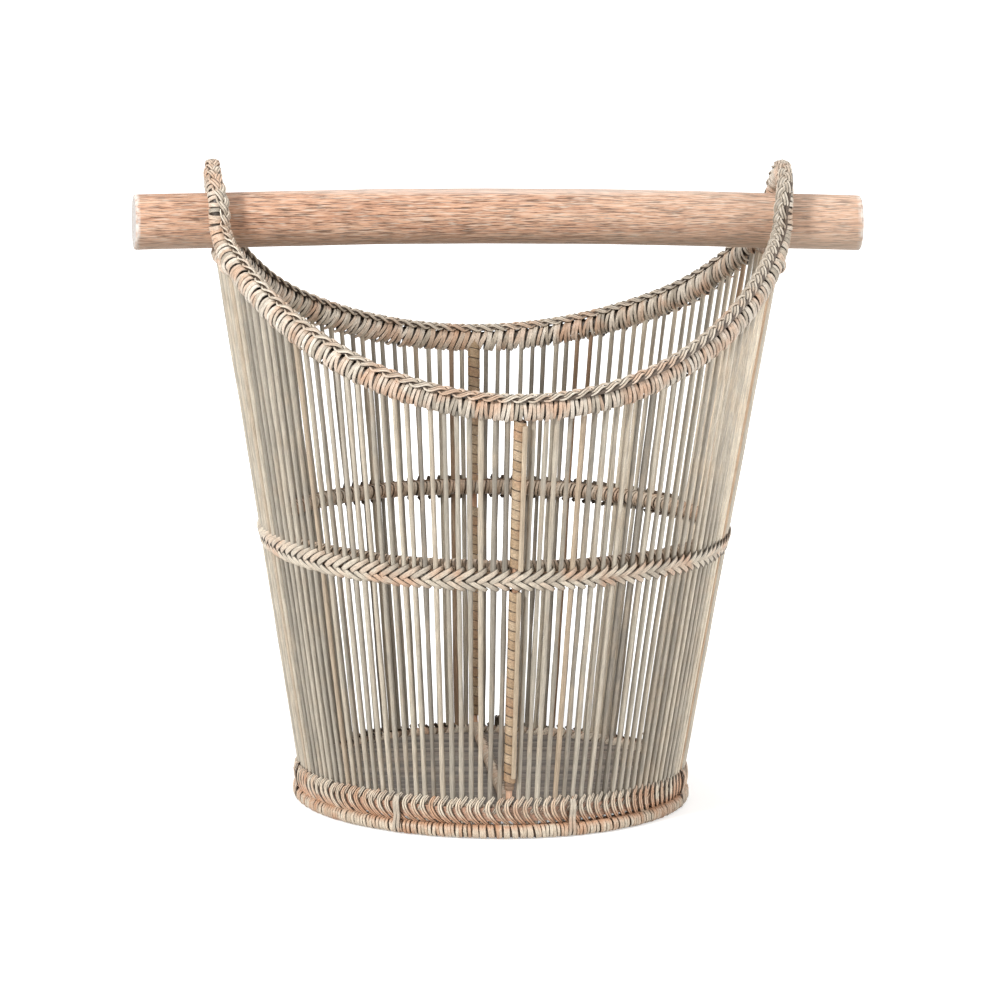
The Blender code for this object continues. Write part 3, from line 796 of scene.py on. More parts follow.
def wind(name, stations, finish, slot, nodes=(), turn=one_turn, **values):
    """A wound piece from stations, each a place, way, outward side and size."""
    place, way, out, size = (np.array(part, float) for part in zip(*stations))
    piece = mesh_piece(name, place, way=way, out=out, size=size)
    run_tree(piece, winding, turn=turn, finish=finish, **values)
    settle(piece, nodes)


print("one turn:", triangles(one_turn), "triangles")

# %% [markdown]
# On the slanting strands the turns come in bundles, one for each stave, because the cane goes
# round the stave's head too. So a bundle swells in its middle and hangs a little lower there,
# which gives the rim its scalloped lower edge, and dark gaps open between bundles. The back
# is wound more loosely than the front, from wider cane. On the eyes there are no staves, so the
# bundles follow each other at a steady pitch. Low down the winding is taller than wide, so its
# middle is lifted and its lower edge stays on the staves' heads.

# %% Wind the rim
BUNDLE_PITCH = 6.7 * MM
NO_STAVES_WITHIN = math.radians(17)
LONGEST_BUNDLE = 20 * MM
EYE_GIRTH = 5.1 * MM
RIM_GIRTH = 4.7 * MM
RIM_TALL = 6.1 * MM
EYE_BLEND = 12 * MM
Bundle = namedtuple("Bundle", "strip_width fill fan slant hang swell narrowest thinner_on_eye")
EYE_BUNDLE = Bundle(2.9 * MM, 0.96, 0.16, 0.10, 0.1 * MM, 0.35 * MM, 0.91, 0.07)
FRONT_BUNDLE = EYE_BUNDLE._replace(hang=1.4 * MM)
BACK_BUNDLE = Bundle(3.1 * MM, 0.90, 0.22, -0.30, 2.8 * MM, 0.9 * MM, 0.95, 0.0)


def bundle_edges():
    """Both ends of each bundle along the rim, and its kind."""
    angle, run = np.unwrap(np.arctan2(rim_line[:, 1], rim_line[:, 0]))[::-1], rim_run[::-1]
    gaps = [(index + 0.5) * STEP for index in range(STAVES)]
    gaps = [gap for gap in gaps if abs(math.sin(gap)) >= math.sin(NO_STAVES_WITHIN)]
    laps = [gap + lap * math.tau for gap in gaps for lap in range(-2, 3)]
    edges = sorted(float(np.interp(lap, angle, run)) for lap in laps if angle[0] < lap < angle[-1])
    bundles = []
    for here, after in zip(edges, edges[1:] + [edges[0] + RIM_LENGTH]):
        span = after - here
        parts = max(1, round(span / BUNDLE_PITCH)) if span > LONGEST_BUNDLE else 1
        for part in range(parts):
            low, high = here + span * part / parts, here + span * (part + 1) / parts
            behind = on_rim(rim_line, (low + high) / 2)[1] > 0
            kind = EYE_BUNDLE if parts > 1 else BACK_BUNDLE if behind else FRONT_BUNDLE
            bundles.append((low, high, kind))
    return bundles


def eye_share(place):
    """1 on the eyes, 0 on the slanting strands, by height."""
    height = on_rim(rim_line, place)[2]
    return float(np.clip((height - EYE_BAR_HEIGHT + EYE_BLEND) / (2 * EYE_BLEND), 0, 1))


def swelling(share):
    """How much a bundle swells at a place from 0 to 1 across it."""
    return math.cos((share - 0.5) * math.pi) ** 0.7


def rim_turns():
    """A station for each turn on the rim, in bundles, with a slit left here and there."""
    stations, slits = [], np.random.default_rng(12)
    for low, high, kind in bundle_edges():
        turns = max(2, round((high - low) / kind.strip_width))
        for turn in range(turns):
            share = (turn + 0.5) / turns
            place = low + (high - low) * (0.5 + (share - 0.5) * kind.fill)
            swell, eye = swelling(share), eye_share(place)
            hang = kind.hang * swell
            radius = RIM_GIRTH * (1 - eye) + EYE_GIRTH * eye + kind.swell * swell
            tall = radius + (RIM_TALL - RIM_GIRTH) * (1 - eye) + hang / 2
            way, out, away = (on_rim(part, place) for part in (rim_way, rim_out, rim_away))
            tilt = kind.fan * (2 * share - 1) + kind.slant
            centre = on_rim(rim_line, place) + away * ((RIM_TALL - HOOP_RADIUS) * (1 - eye) - hang / 2)
            narrow = slits.uniform(kind.narrowest - kind.thinner_on_eye * eye, 1.02)
            width = (high - low) * kind.fill / turns * narrow
            stations.append((centre, way + away * tilt, out, (radius, tall, width)))
    return stations


wind("rim_winding", rim_turns(), rim_cane, "rim_cane", ["rim_hoop"], lean=0.06, wobble=0.09, play=0.04,
     seed=5)

# %% Lay the rod inside the rim's winding, painted near black as shade
RIM_CORE_POINTS = 500
core_places = np.linspace(0, RIM_LENGTH, RIM_CORE_POINTS, endpoint=False)
core_lift = np.array([(RIM_TALL - HOOP_RADIUS) * (1 - eye_share(place)) for place in core_places])
core_line = on_rim(rim_line, core_places) + on_rim(rim_away, core_places) * core_lift[:, None]
lay_rods("rim_core", [core_line], painted_shadow_core, "rim_cane", closed=True, radius=4.2 * MM, seed=2)

# %% [markdown]
# ## The plait on the rim
# A flat plait of three strands caps the rim and hides where the turns meet. Each strand is
# three thin canes side by side. It swings from side to side and dips under its neighbours twice
# in a swing. That is two sine waves, one across and one up with half its length, and the three
# strands are a third of a swing apart. The swings have to fit the loop a whole number of times.

# %% Build the plait tree
EDGE_PER_METRE = 430.0


def plait_tree():
    """Closed chains swing across and dip up and down, and each lies at its place in its strand."""
    tree, given = new_tree("plait", swing=3.2 * MM, dip=0.8 * MM, width=2.2 * MM, height=1.2 * MM, curl=80.0,
                           stretch=60.0, seed=1, finish="Material")
    phase, beside, rate, narrow = (read(tree, label) for label in ("phase", "beside", "rate", "spread"))
    way, out, away = (read(tree, label, "FLOAT_VECTOR") for label in ("way", "out", "away"))
    swing = calc(tree, "MULTIPLY", given("swing"), narrow)
    slope = calc(tree, "MULTIPLY", calc(tree, "COSINE", phase), calc(tree, "MULTIPLY", swing, rate))
    steep = calc(tree, "SQRT", calc(tree, "MULTIPLY_ADD", slope, slope, 1.0))
    side = calc(tree, "DIVIDE", beside, steep)
    across = calc(tree, "MULTIPLY_ADD", calc(tree, "SINE", phase), swing, side)
    back = calc(tree, "MULTIPLY", calc(tree, "MULTIPLY", side, slope), -1.0)
    dip = calc(tree, "MULTIPLY", calc(tree, "SINE", calc(tree, "MULTIPLY", phase, 2.0)), given("dip"))
    bow = calc(tree, "MULTIPLY", calc(tree, "MULTIPLY", across, across), given("curl"))
    push = vector(tree, "ADD", vector(tree, "SCALE", out, across), vector(tree, "SCALE", way, back))
    push = vector(tree, "ADD", push, vector(tree, "SCALE", away, calc(tree, "SUBTRACT", dip, bow)))
    rail = add(tree, "GeometryNodeMeshToCurve", {"Mesh": given("Geometry")})
    rail = add(tree, "GeometryNodeSetPosition", {"Geometry": rail, "Offset": push})
    rail = add(tree, "GeometryNodeSetCurveNormal", {"Curve": rail, "Normal": away}, mode="FREE")
    laid, lateral = swept_rod(tree, given, rail, chain_lot(tree, given), 6, given("width"), given("height"),
                              (0.6, 1.2))
    # Edge grows towards a strand's sides, where the finish paints shade between the strands.
    reach = calc(tree, "MULTIPLY_ADD", lateral, given("width"), beside)
    edge = calc(tree, "MULTIPLY", calc(tree, "ABSOLUTE", reach), EDGE_PER_METRE)
    return close_tree(tree, given, store(tree, laid, "edge", edge))


plait = plait_tree()

# %% [markdown]
# The plait is tighter on the eyes than on the strands, so the phase is summed up along the rim
# from a rate that changes. On the front leg of each eye the plait has slipped towards the
# inside, on the left one more, and low on the front it leans outwards a little. So its two
# sides are rolled round the rim's own way.

# %% Plait the rim
STRANDS = 3
CANES = 3
CANE_WIDTH = 1.45 * MM
PLAIT_POINTS = 1733
PLAIT_LIFT = 1.6 * MM
LOW_SWING = 27 * MM
EYE_SWING = 20 * MM
EYE_NARROWER = 0.22
ROLL_LEFT = math.radians(48)
ROLL_RIGHT = math.radians(30)
ROLL_OUTWARD = math.radians(5)
ROLL_FROM = RIM_LOW + 8 * MM
ROLL_GROWS = 66 * MM
ROLL_TO = EYE_TOP - 6 * MM
ROLL_FADES = 16 * MM


def plait_frame():
    """Centre, way, sides, phase, rate and width of the plait at even places."""
    places = np.linspace(0, RIM_LENGTH, PLAIT_POINTS, endpoint=False)
    line, way, out, away = (on_rim(part, places) for part in (rim_line, rim_way, rim_out, rim_away))
    eye = np.array([eye_share(place) for place in places])
    rate = math.tau / (LOW_SWING * (1 - eye) + EYE_SWING * eye)
    step = RIM_LENGTH / len(places)
    total = np.sum(rate) * step
    rate = rate * (round(total / math.tau) * math.tau / total)
    phase = np.concatenate([[0], np.cumsum(rate)[:-1]]) * step
    height = line[:, 2]
    rise = np.clip((height - ROLL_FROM) / ROLL_GROWS, 0, 1) * np.clip((ROLL_TO - height) / ROLL_FADES, 0, 1)
    roll = rise * np.where(line[:, 0] < 0, ROLL_LEFT, ROLL_RIGHT) - ROLL_OUTWARD * (1 - rise) * (1 - eye)
    roll = np.where(line[:, 1] < 0, roll, 0)[:, None]
    rolled_away = away * np.cos(roll) - out * np.sin(roll)
    rolled_out = out * np.cos(roll) + away * np.sin(roll)
    lift = (2 * RIM_TALL - HOOP_RADIUS) * (1 - eye) + EYE_GIRTH * eye + PLAIT_LIFT
    centre = line + rolled_away * lift[:, None]
    return centre, way, rolled_out, rolled_away, phase, rate, 1 - EYE_NARROWER * eye


middle, way, out, away, phase, rate, narrow = plait_frame()
chains = [(strand, cane) for strand in range(STRANDS) for cane in range(CANES)]
laid = len(chains)
rim_plait = chain_piece(
    "rim_plait", [middle] * laid, closed=True,
    phase=np.concatenate([phase + math.tau * strand / STRANDS for strand, _ in chains]),
    beside=np.repeat([(cane - (CANES - 1) / 2) * CANE_WIDTH for _, cane in chains], len(middle)),
    rate=np.tile(rate, laid), spread=np.tile(narrow, laid), way=np.tile(way, (laid, 1)),
    out=np.tile(out, (laid, 1)), away=np.tile(away, (laid, 1)))
run_tree(rim_plait, plait, swing=3.1 * MM, dip=1.2 * MM, width=CANE_WIDTH * 0.56, height=0.62 * MM,
         stretch=70.0, seed=4, finish=braid_cane)
settle(rim_plait, ["rim_braid"])

# %% Lay canes painted near black as shadow under the plait, so that its holes aren't bright
FRONT_RIGHT_FROM = -10 * MM
FRONT_RIGHT_GROWS = 50 * MM
front_right = np.clip((middle[:, 0] - FRONT_RIGHT_FROM) / FRONT_RIGHT_GROWS, 0, 1)
front_right = np.where(middle[:, 1] < 0, front_right, 0)[:, None]
BED_PLACES = ((-2.2, 1.5), (0, 1.1), (2.2, 1.5), (2.2 + 1.5 * front_right, 1.5 + 0.7 * front_right))
bed = [(middle + out * side * MM - away * drop * MM)[::3] for side, drop in BED_PLACES]
lay_rods("plait_bed", bed, painted_shadow_core, "braid_cane", closed=True, radius=1.2 * MM, sides=6, seed=6)

# %% [markdown]
# ## Eye bars and inner hoops
# Under the bar a short crosspiece joins the two strands of each eye, and the bar lies on it.
# Inside the wall a hoop runs round at half height and another at the floor. All are wound, so
# they use the same tree. The hoops' cane also ties the staves, so it comes in bundles that
# swell between the staves.

# %% Wind the eye bars
SNUG = 0.97
EYE_BAR_TURNS = 36
EYE_BAR_REACH = EYE_BAR_ANGLE * 0.95
EYE_BAR_RADIUS = wall_radius(EYE_BAR_HEIGHT)


def round_station(radius, height, angle, size):
    """A station on a level circle: its place, way, outward side and size."""
    out = np.array([math.cos(angle), math.sin(angle), 0])
    way = np.array([-math.sin(angle), math.cos(angle), 0])
    return out * radius + (0, 0, height), way, out, size


for side, middle in (("right", 0.0), ("left", math.pi)):
    size = (HOOP_RADIUS, HOOP_RADIUS, EYE_BAR_RADIUS * 2 * EYE_BAR_REACH / EYE_BAR_TURNS * SNUG)
    turns = [round_station(EYE_BAR_RADIUS, EYE_BAR_HEIGHT, middle + EYE_BAR_REACH * (2 * share - 1), size)
             for share in (np.arange(EYE_BAR_TURNS) + 0.5) / EYE_BAR_TURNS]
    wind(f"eye_bar_winding_{side}", turns, rim_cane, "hoop_cane", [f"eye_bar_{side}"], lean=0.1,
         wobble=0.08, play=0.04, seed=8)

# %% Lash the eye bars to the rim
LASHING_SIZE = (5.6 * MM, 6.2 * MM, 2.3 * MM)
LASHING_ANGLE = EYE_BAR_ANGLE * 0.97
LASHING_STEP = 0.0125
LASHING_OFF = 0.6 * MM


def lashing_turns():
    """A few fat turns round each joint of eye bar and rim, as tight as the maker's last knot."""
    stations = []
    for middle, side in ((0.0, -1), (0.0, 1), (math.pi, -1), (math.pi, 1)):
        for turn in range(-2, 3):
            angle = middle + side * (LASHING_ANGLE + turn * LASHING_STEP)
            stations.append(round_station(EYE_BAR_RADIUS + LASHING_OFF, EYE_BAR_HEIGHT - LASHING_OFF, angle,
                                          LASHING_SIZE))
    return stations


wind("eye_lashings", lashing_turns(), rim_cane, "hoop_cane", lean=0.5, wobble=0.2, play=0.05, seed=18)

# %% Wind the two inner hoops
MID_BAND_HEIGHT = 164.3 * MM
MID_HOOP_HEIGHT = MID_BAND_HEIGHT + 6.5 * MM
MID_HOOP_GIRTH = 4.2 * MM
MID_HOOP_RADIUS = wall_radius(MID_HOOP_HEIGHT) - 6.3 * MM
BASE_HOOP_HEIGHT = 14.1 * MM
BASE_HOOP_GIRTH = 3.5 * MM
BASE_HOOP_RADIUS = wall_radius(BASE_HOOP_HEIGHT) - 5.45 * MM
BASE_WINDING_LIFT = 1.5 * MM
BASE_WINDING_GIRTH = 4.2 * MM
BUNDLE_EDGE_DIP = 0.15 * MM
CORE_POINTS = 240


def hoop_turns(radius, height, girth, per_gap, swell, fill=0.90):
    """Bundles of turns round a whole hoop, one between each two staves."""
    stations = []
    for gap in range(STAVES):
        for turn in range(per_gap):
            share = (turn + 0.5) / per_gap
            more = swell * swelling(share)
            thick = girth - BUNDLE_EDGE_DIP + more
            angle = STEP * (gap + 0.5 + (share - 0.5) * fill)
            size = (thick, thick, radius * STEP * fill / per_gap * SNUG)
            stations.append(round_station(radius - more / 2, height, angle, size))
    return stations


def level_core(name, radius, height, girth, slot):
    """The dark rod inside a wound hoop."""
    turns = np.linspace(0, math.tau, CORE_POINTS, endpoint=False)
    line = np.stack([radius * np.cos(turns), radius * np.sin(turns), np.full(CORE_POINTS, height)], -1)
    lay_rods(name, [line], core_rattan, slot, closed=True, radius=girth, seed=2)


level_core("mid_hoop_core", MID_HOOP_RADIUS, MID_HOOP_HEIGHT, 3.3 * MM, "hoop_cane")
level_core("base_hoop_core", BASE_HOOP_RADIUS, BASE_HOOP_HEIGHT + 1.2 * MM, 3.3 * MM, "hoop_cane")
wind("mid_hoop_winding", hoop_turns(MID_HOOP_RADIUS, MID_HOOP_HEIGHT, MID_HOOP_GIRTH, 3, 0.9 * MM),
     hoop_cane, "hoop_cane", ["mid_hoop"], lean=0.16, wobble=0.08, play=0.04, seed=9)
base_turns = hoop_turns(BASE_HOOP_RADIUS, BASE_HOOP_HEIGHT + BASE_WINDING_LIFT, BASE_WINDING_GIRTH, 1,
                        0.2 * MM, 0.8)
wind("base_hoop_winding", base_turns, band_cane, "hoop_cane", ["base_hoop"], lean=0.6, wobble=0.1, play=0.05,
     seed=10)

# %% [markdown]
# ## The foot ring
# The ring under the basket is the densest winding. It stands on the ground, so its section is
# wider than high: the turns are rounded squares, laid in pairs that lean together, with thin
# dark slits between them where the rod inside shows.

# %% Wind the foot ring
RING_OUT = 0.6 * MM
RING_RADIUS = FOOT_RADIUS + WALL_SLOPE * (FOOT_TOP + GAP)
RING_GIRTH = 5.6 * MM
RING_CORE = 3.9 * MM
RING_FLATTER = 0.93
RING_TURNS = 320
PAIR_CLOSER = 0.08


def foot_turns():
    """Stations round the foot ring, in pairs that lean together, with thin slits between."""
    stations, slits = [], np.random.default_rng(13)
    pitch = math.tau * RING_RADIUS / RING_TURNS
    for index in range(RING_TURNS):
        angle = math.tau * (index + (PAIR_CLOSER if index % 2 else -PAIR_CLOSER)) / RING_TURNS
        size = (RING_GIRTH, FOOT_TOP / 2 * RING_FLATTER, pitch * slits.uniform(0.91, 1.03))
        stations.append(round_station(RING_RADIUS + RING_OUT, FOOT_TOP / 2, angle, size))
    return stations


wind("foot_ring_winding", foot_turns(), ring_cane, "foot_cane", ["foot_ring"], square_turn, lean=0.10,
     wobble=0.11, play=0.04, seed=12)
level_core("foot_ring_core", RING_RADIUS + RING_OUT, FOOT_TOP / 2, RING_CORE, "foot_cane")

# %% [markdown]
# ## Stakes and spine
# One rod is bent to a U: it stands up the front, crosses under the basket's load as a spine
# and stands up the back. Flat cane is wound round it with thin slits between the turns. On
# the front stake a second, plain rod lies over the winding, right of its middle.

# %% Bend the rod
FRAME_RADIUS = STAVE_RADIUS * 0.8
FRAME_OFFSET = STAVE_RADIUS - 0.5 * MM - GAP - FRAME_RADIUS
FLOOR_TOP = BASE_HOOP_HEIGHT + 1.6 * MM
CORNER_REACH = 8 * MM
CORNER_POINTS = 9
UPRIGHT_POINTS = 24
BINDING_CLEARANCE = 0.5 * MM


def winding_radius(height, clearances):
    """Radius that a stake's winding has beside the staves at a height."""
    return wall_radius(height) * STEP - STAVE_RADIUS - clearances * BINDING_CLEARANCE


LOW_GIRTH = winding_radius(FOOT_TOP, 1)
HIGH_GIRTH = winding_radius(MID_BAND_HEIGHT, 2)
SPINE_HEIGHT = FLOOR_TOP + GAP + LOW_GIRTH


def stake_place(height, side=-1):
    """Centre of the front (-1) or back (1) stake at a height."""
    return np.array([0.0, side * (wall_radius(height) + FRAME_OFFSET), height])


def frame_points():
    """The rod's centre line from the front top, over the floor, to the back top."""
    top = RIM_LOW + FRONT_LIFT - HOOP_RADIUS - GAP
    corner = stake_place(SPINE_HEIGHT)
    lean = stake_place(top) - corner
    start = corner + lean / np.linalg.norm(lean) * CORNER_REACH
    finish = corner + (0, CORNER_REACH, 0)
    upright = [stake_place(height) for height in np.linspace(top, start[2] + 1 * MM, UPRIGHT_POINTS)]
    bend = [start * (1 - s) ** 2 + corner * 2 * s * (1 - s) + finish * s**2
            for s in np.linspace(0, 1, CORNER_POINTS)]
    half = upright + bend
    return half + [point * (1, -1, 1) for point in reversed(half)]


lay_rods("stake_rod", [frame_points()], salmon_core, "frame_rattan", ["stake_frame"], radius=2.0 * MM,
         uneven=0.1, seed=21, stretch=STAVE_GRAIN)

# %% Wind the stakes and the spine
BIND_PITCH = 6.2 * MM
SPINE_PITCH = 3.4 * MM
BAND_BELOW = 7 * MM
BAND_ABOVE = 8 * MM
RIM_ABOVE = 3 * MM
LOW_WRAP = LOW_GIRTH + 0.3 * MM
HIGH_WRAP = HIGH_GIRTH - 0.2 * MM
WRAPS_FROM = 31 * MM
WRAPS_TO = 36 * MM
WRAPS_PITCH = 2.4 * MM
BACK_FROM = 25 * MM
OUTWARD = np.array([0, -1.0, 0])
FLOOR_EDGE = BASE_HOOP_RADIUS - BASE_HOOP_GIRTH - GAP


def line_turns(start, finish, girth, pitch, out=OUTWARD):
    """Stations along a straight rod."""
    length = np.linalg.norm(finish - start)
    count = max(1, round(length / pitch))
    size = (girth, girth, length / count * SNUG)
    return [(start + (finish - start) * (i + 0.5) / count, (finish - start) / length, out, size)
            for i in range(count)]


for name, side, foot in (("front", -1, WRAPS_TO), ("back", 1, BACK_FROM)):
    ends = (foot, MID_BAND_HEIGHT - BAND_BELOW, MID_BAND_HEIGHT + BAND_ABOVE, RIM_LOW - RIM_ABOVE)
    ends = [stake_place(height, side) for height in ends]
    turns = line_turns(*ends[:2], LOW_WRAP, BIND_PITCH)
    turns += line_turns(*ends[2:], HIGH_WRAP, BIND_PITCH)
    wind(f"{name}_stake_winding", turns, stake_cane, "binding_cane",
         [f"{name}_lower_binding", f"{name}_upper_binding"], flat_turn, lean=0.0, wobble=0.025,
         play=0.01, seed=14)
spine = line_turns(np.array([0, -FLOOR_EDGE, SPINE_HEIGHT]), np.array([0, FLOOR_EDGE, SPINE_HEIGHT]),
                   LOW_GIRTH, SPINE_PITCH, np.array([0, 0, 1.0]))
wind("spine_winding", spine, hoop_cane, "binding_cane", ["spine_binding"], lean=0.5, wobble=0.12, play=0.04,
     seed=15)
wraps = line_turns(stake_place(WRAPS_FROM), stake_place(WRAPS_TO), LOW_GIRTH - 0.4 * MM, WRAPS_PITCH)
wind("front_stake_foot", wraps, core_rattan, "binding_cane", lean=0.0, wobble=0.05, play=0.05, seed=16)

# %% Lay the plain rod over the front stake
COVER_OFF = 1.0 * MM
COVER_POINTS = 16


def cover_line(low, high, girth, across):
    """A line on the outside of the front stake's winding, beside its middle."""
    rise = math.sqrt((girth + COVER_OFF) ** 2 - across**2)
    return [stake_place(height) + (across, -rise, 0) for height in np.linspace(low, high, COVER_POINTS)]


cover = [cover_line(39 * MM, 157 * MM, LOW_GIRTH, 2.0 * MM),
         cover_line(171 * MM, 261 * MM, HIGH_GIRTH - 0.4 * MM, 2.6 * MM)]
lay_rods("front_cover_rod", cover, cover_cane, "frame_rattan", radius=1.5 * MM, crooked=0.4 * MM, uneven=0.3,
         seed=22, stretch=STAVE_GRAIN)

# %% [markdown]
# ## The floor
# The floor is thin rods laid side by side across the basket, each cut to the width of the
# base hoop where it lies.

# %% Lay the floor
FLOOR_RODS = 54
FLOOR_POINTS = 9


def floor_line(index):
    """Points of one floor rod, from side to side."""
    y = FLOOR_EDGE * (2 * (index + 0.5) / FLOOR_RODS - 1)
    half = math.sqrt(FLOOR_EDGE**2 - y**2)
    return [(half * share, y, BASE_HOOP_HEIGHT) for share in np.linspace(-1, 1, FLOOR_POINTS)]


floor = [floor_line(index) for index in range(FLOOR_RODS)]
lay_rods("floor_rods", floor, floor_rattan, "floor_rattan", ["floor_mat"], radius=1.85 * MM,
         crooked=0.5 * MM, uneven=0.25, sides=8, seed=23, stretch=STAVE_GRAIN)

# %% [markdown]
# ## Bands of crossed strips
# Outside the wall two bands of flat cane hold the staves. Each strip comes out between two
# staves, passes over one or two of them at a slant, and goes in again. Two rows that slant
# opposite ways make the herringbone. A strip is drawn once, in its place at the front, on the
# cone: steps round the wall, height and distance from the staves. The ring tree then repeats
# it at every stave and shifts each copy a little.

# %% Model a strip on the wall, and the tree that repeats it round


def on_wall(steps, heights, offs):
    """Points and outward sides on the cone, from steps round it, heights and distances off."""
    angle = steps * STEP - math.pi / 2
    radius = wall_radius(heights) + offs
    out = np.stack([np.cos(angle), np.sin(angle), np.full(len(angle), -WALL_SLOPE)], -1)
    points = np.stack([radius * np.cos(angle), radius * np.sin(angle), heights], -1)
    return points, unit(out)


def wall_strip(name, steps, heights, offs, width, thickness=0.8 * MM, places=9, taper=0.25, belly=0.6,
               profile=TWIN):
    """A strip over the wall that dives in at both ends; heights are in millimetres."""
    share, knots = np.linspace(0, 1, places), np.linspace(0, 1, len(steps))
    step, height = (np.polyval(np.polyfit(knots, values, len(knots) - 1), share)
                    for values in (steps, heights))
    off = offs[0] + (offs[1] - offs[0]) * np.sin(math.pi * share) ** belly
    line, outs = on_wall(step, height * MM, off * MM)
    return strip_mesh(name, line, outs, width * MM, thickness, taper=taper, profile=profile)


def ring_tree():
    """A strip repeated round the upright axis, each copy a little shifted."""
    tree, given = new_tree("ring", strip="Object", count=STAVES, turn=0.0, shift=0.004, lift=0.4 * MM,
                           tilt=0.0, seed=1, finish="Material")
    line = add(tree, "GeometryNodeMeshLine", {"Count": given("count"), "Offset": (0.0, 0.0, 0.0)})
    step = calc(tree, "DIVIDE", math.tau, given("count"))
    even = calc(tree, "MULTIPLY_ADD", add(tree, "GeometryNodeInputIndex"), step, given("turn"))
    angle = calc(tree, "ADD", even, lot_about(tree, given, given("shift")))
    behind = calc(tree, "MULTIPLY_ADD", calc(tree, "COSINE", even), -0.5, 0.5)
    rise = calc(tree, "MULTIPLY_ADD", behind, given("tilt"), lot_about(tree, given, given("lift"), 5))
    moved = add(tree, "GeometryNodeSetPosition", {"Geometry": line, "Offset": combined(tree, z=rise)})
    spin = add(tree, "FunctionNodeEulerToRotation", {0: combined(tree, z=angle)})
    return close_tree(tree, given, laid_copies(tree, given, moved, "strip", 17, Rotation=spin))


rounds = ring_tree()


def repeat_round(name, strip, finish, slot, nodes=(), **values):
    """A row of strips round the wall as one piece; the model strip is then taken away."""
    row = mesh_piece(name, [(0, 0, 0)])
    run_tree(row, rounds, strip=strip, finish=finish, **values)
    bpy.data.objects.remove(strip, do_unlink=True)
    settle(row, nodes)


# %% The cane behind a band
CORE_CORNERS = 264
CORE_GRAINS_ROUND = 12
CORE_GRAIN_HEIGHT = 2 * MM


def core_ring(name, low, high, near, far, tilt, finish, nodes=()):
    """A closed ring on the wall between two heights and distances off, higher behind by tilt."""
    section = [(wall_radius(low) + near, low), (wall_radius(low) + far, low),
               (wall_radius(high) + far, high), (wall_radius(high) + near, high)]
    points, grains = [], []
    for index in range(CORE_CORNERS):
        angle = math.tau * index / CORE_CORNERS
        for radius, level in section:
            height = level + tilt * (1 + math.sin(angle)) / 2
            points.append((radius * math.cos(angle), radius * math.sin(angle), height))
            grains.append((height / CORE_GRAIN_HEIGHT, CORE_GRAINS_ROUND * math.cos(angle),
                           CORE_GRAINS_ROUND * math.sin(angle)))
    faces = [(a, d, c, b) for a, b, c, d in ring_faces(CORE_CORNERS, len(section), closed=True)]
    ring = mesh_piece(name, points, faces=faces, grain=grains)
    ring.data.materials.append(finish)
    smooth(ring.data)
    settle(ring, nodes)


# %% [markdown]
# The mid band has two rows. The upper strips are longer and rise to the right, the lower ones
# fall to the right, and behind them lies the dark cane that ties the hoop inside. The photograph
# shows the row a little higher at the back than at the front, so it tilts.

# %% Weave the mid band
MID_TILT = 6.0 * MM
MID_STRIP = {"thickness": 0.6 * MM, "belly": 0.5, "profile": CROWNED}
core_ring("mid_band_core", MID_BAND_HEIGHT - 4.5 * MM, MID_BAND_HEIGHT + 5 * MM, -1.2 * MM, 0.6 * MM,
          MID_TILT, core_rattan)
level = MID_BAND_HEIGHT / MM
upper = wall_strip("mid_strip_up", (-1.5, 0.5), (level - 2.4, level + 6.6), (-0.9, 2.9), 3.5, **MID_STRIP)
repeat_round("mid_band_upper", upper, band_cane, "band_cane", seed=31, shift=0.05 * STEP, tilt=MID_TILT)
lower = wall_strip("mid_strip_down", (-1.45, 0.5), (level + 1.2, level - 6.5), (-0.9, 2.3), 3.2, **MID_STRIP)
repeat_round("mid_band_lower", lower, band_cane, "band_cane", seed=32, shift=0.05 * STEP, tilt=MID_TILT)

# %% [markdown]
# The base band has a salmon core, strips that climb to the right behind, and wide strips in
# front that fall to the right and run down onto the foot ring. Each is a pair of canes side by
# side, so its section is crowned twice. The band is warmest at its waist, and between the
# strips' feet small openings are left over the ring.

# %% Weave the base band
BASE_TILT = -6.5 * MM
core_ring("base_band_core", 11.0 * MM, 19.5 * MM, -1.2 * MM, 2.3 * MM, BASE_TILT / 3, salmon_core,
          ["base_band"])
rising = wall_strip("base_strip_up", (-0.75, -0.2, 0.5), (14.5, 20, 26.0), (0.4, 2.2), 2.7)
repeat_round("base_band_rising", rising, band_cane, "band_cane", seed=33, shift=0.12 * STEP, lift=0.7 * MM,
             tilt=BASE_TILT)
falling = wall_strip("base_strip_down", (0.10, -0.30, 0.10, 1.05), (25.2, 19.5, 13.5, 8.2), (0.4, 3.4), 3.3,
                     thickness=0.9 * MM, places=13, taper=0.55)
repeat_round("base_band_falling", falling, foot_cane, "band_cane", seed=34, shift=0.11 * STEP, lift=0.6 * MM,
             tilt=BASE_TILT)

# %% Tie the base band to the foot ring
TIES = 7
TIE_FIRST = math.radians(-71.4)
TIE_LEAN = 0.26
TIE_OUTLINE = np.array([(1.0, 23.6), (3.2, 23.2), (4.8, 20.6), (5.0, 16.0), (4.8, 11.0), (6.1, 8.0),
                        (7.0, 4.5), (6.2, 1.5), (2.2, 0.9)]) * MM


def tie_strip(name, lean):
    """One strand of a tie: over the band, in at the waist, over the foot ring and under it."""
    offs, heights = TIE_OUTLINE.T
    line, outs = on_wall(np.linspace(lean * 0.5, lean, len(offs)), heights, offs)
    ways = np.gradient(line, axis=0)
    outs = unit(outs - ways * (np.sum(outs * ways, 1) / np.sum(ways * ways, 1))[:, None])
    return strip_mesh(name, line, outs, 2.4 * MM, 0.7 * MM, taper=0.1)


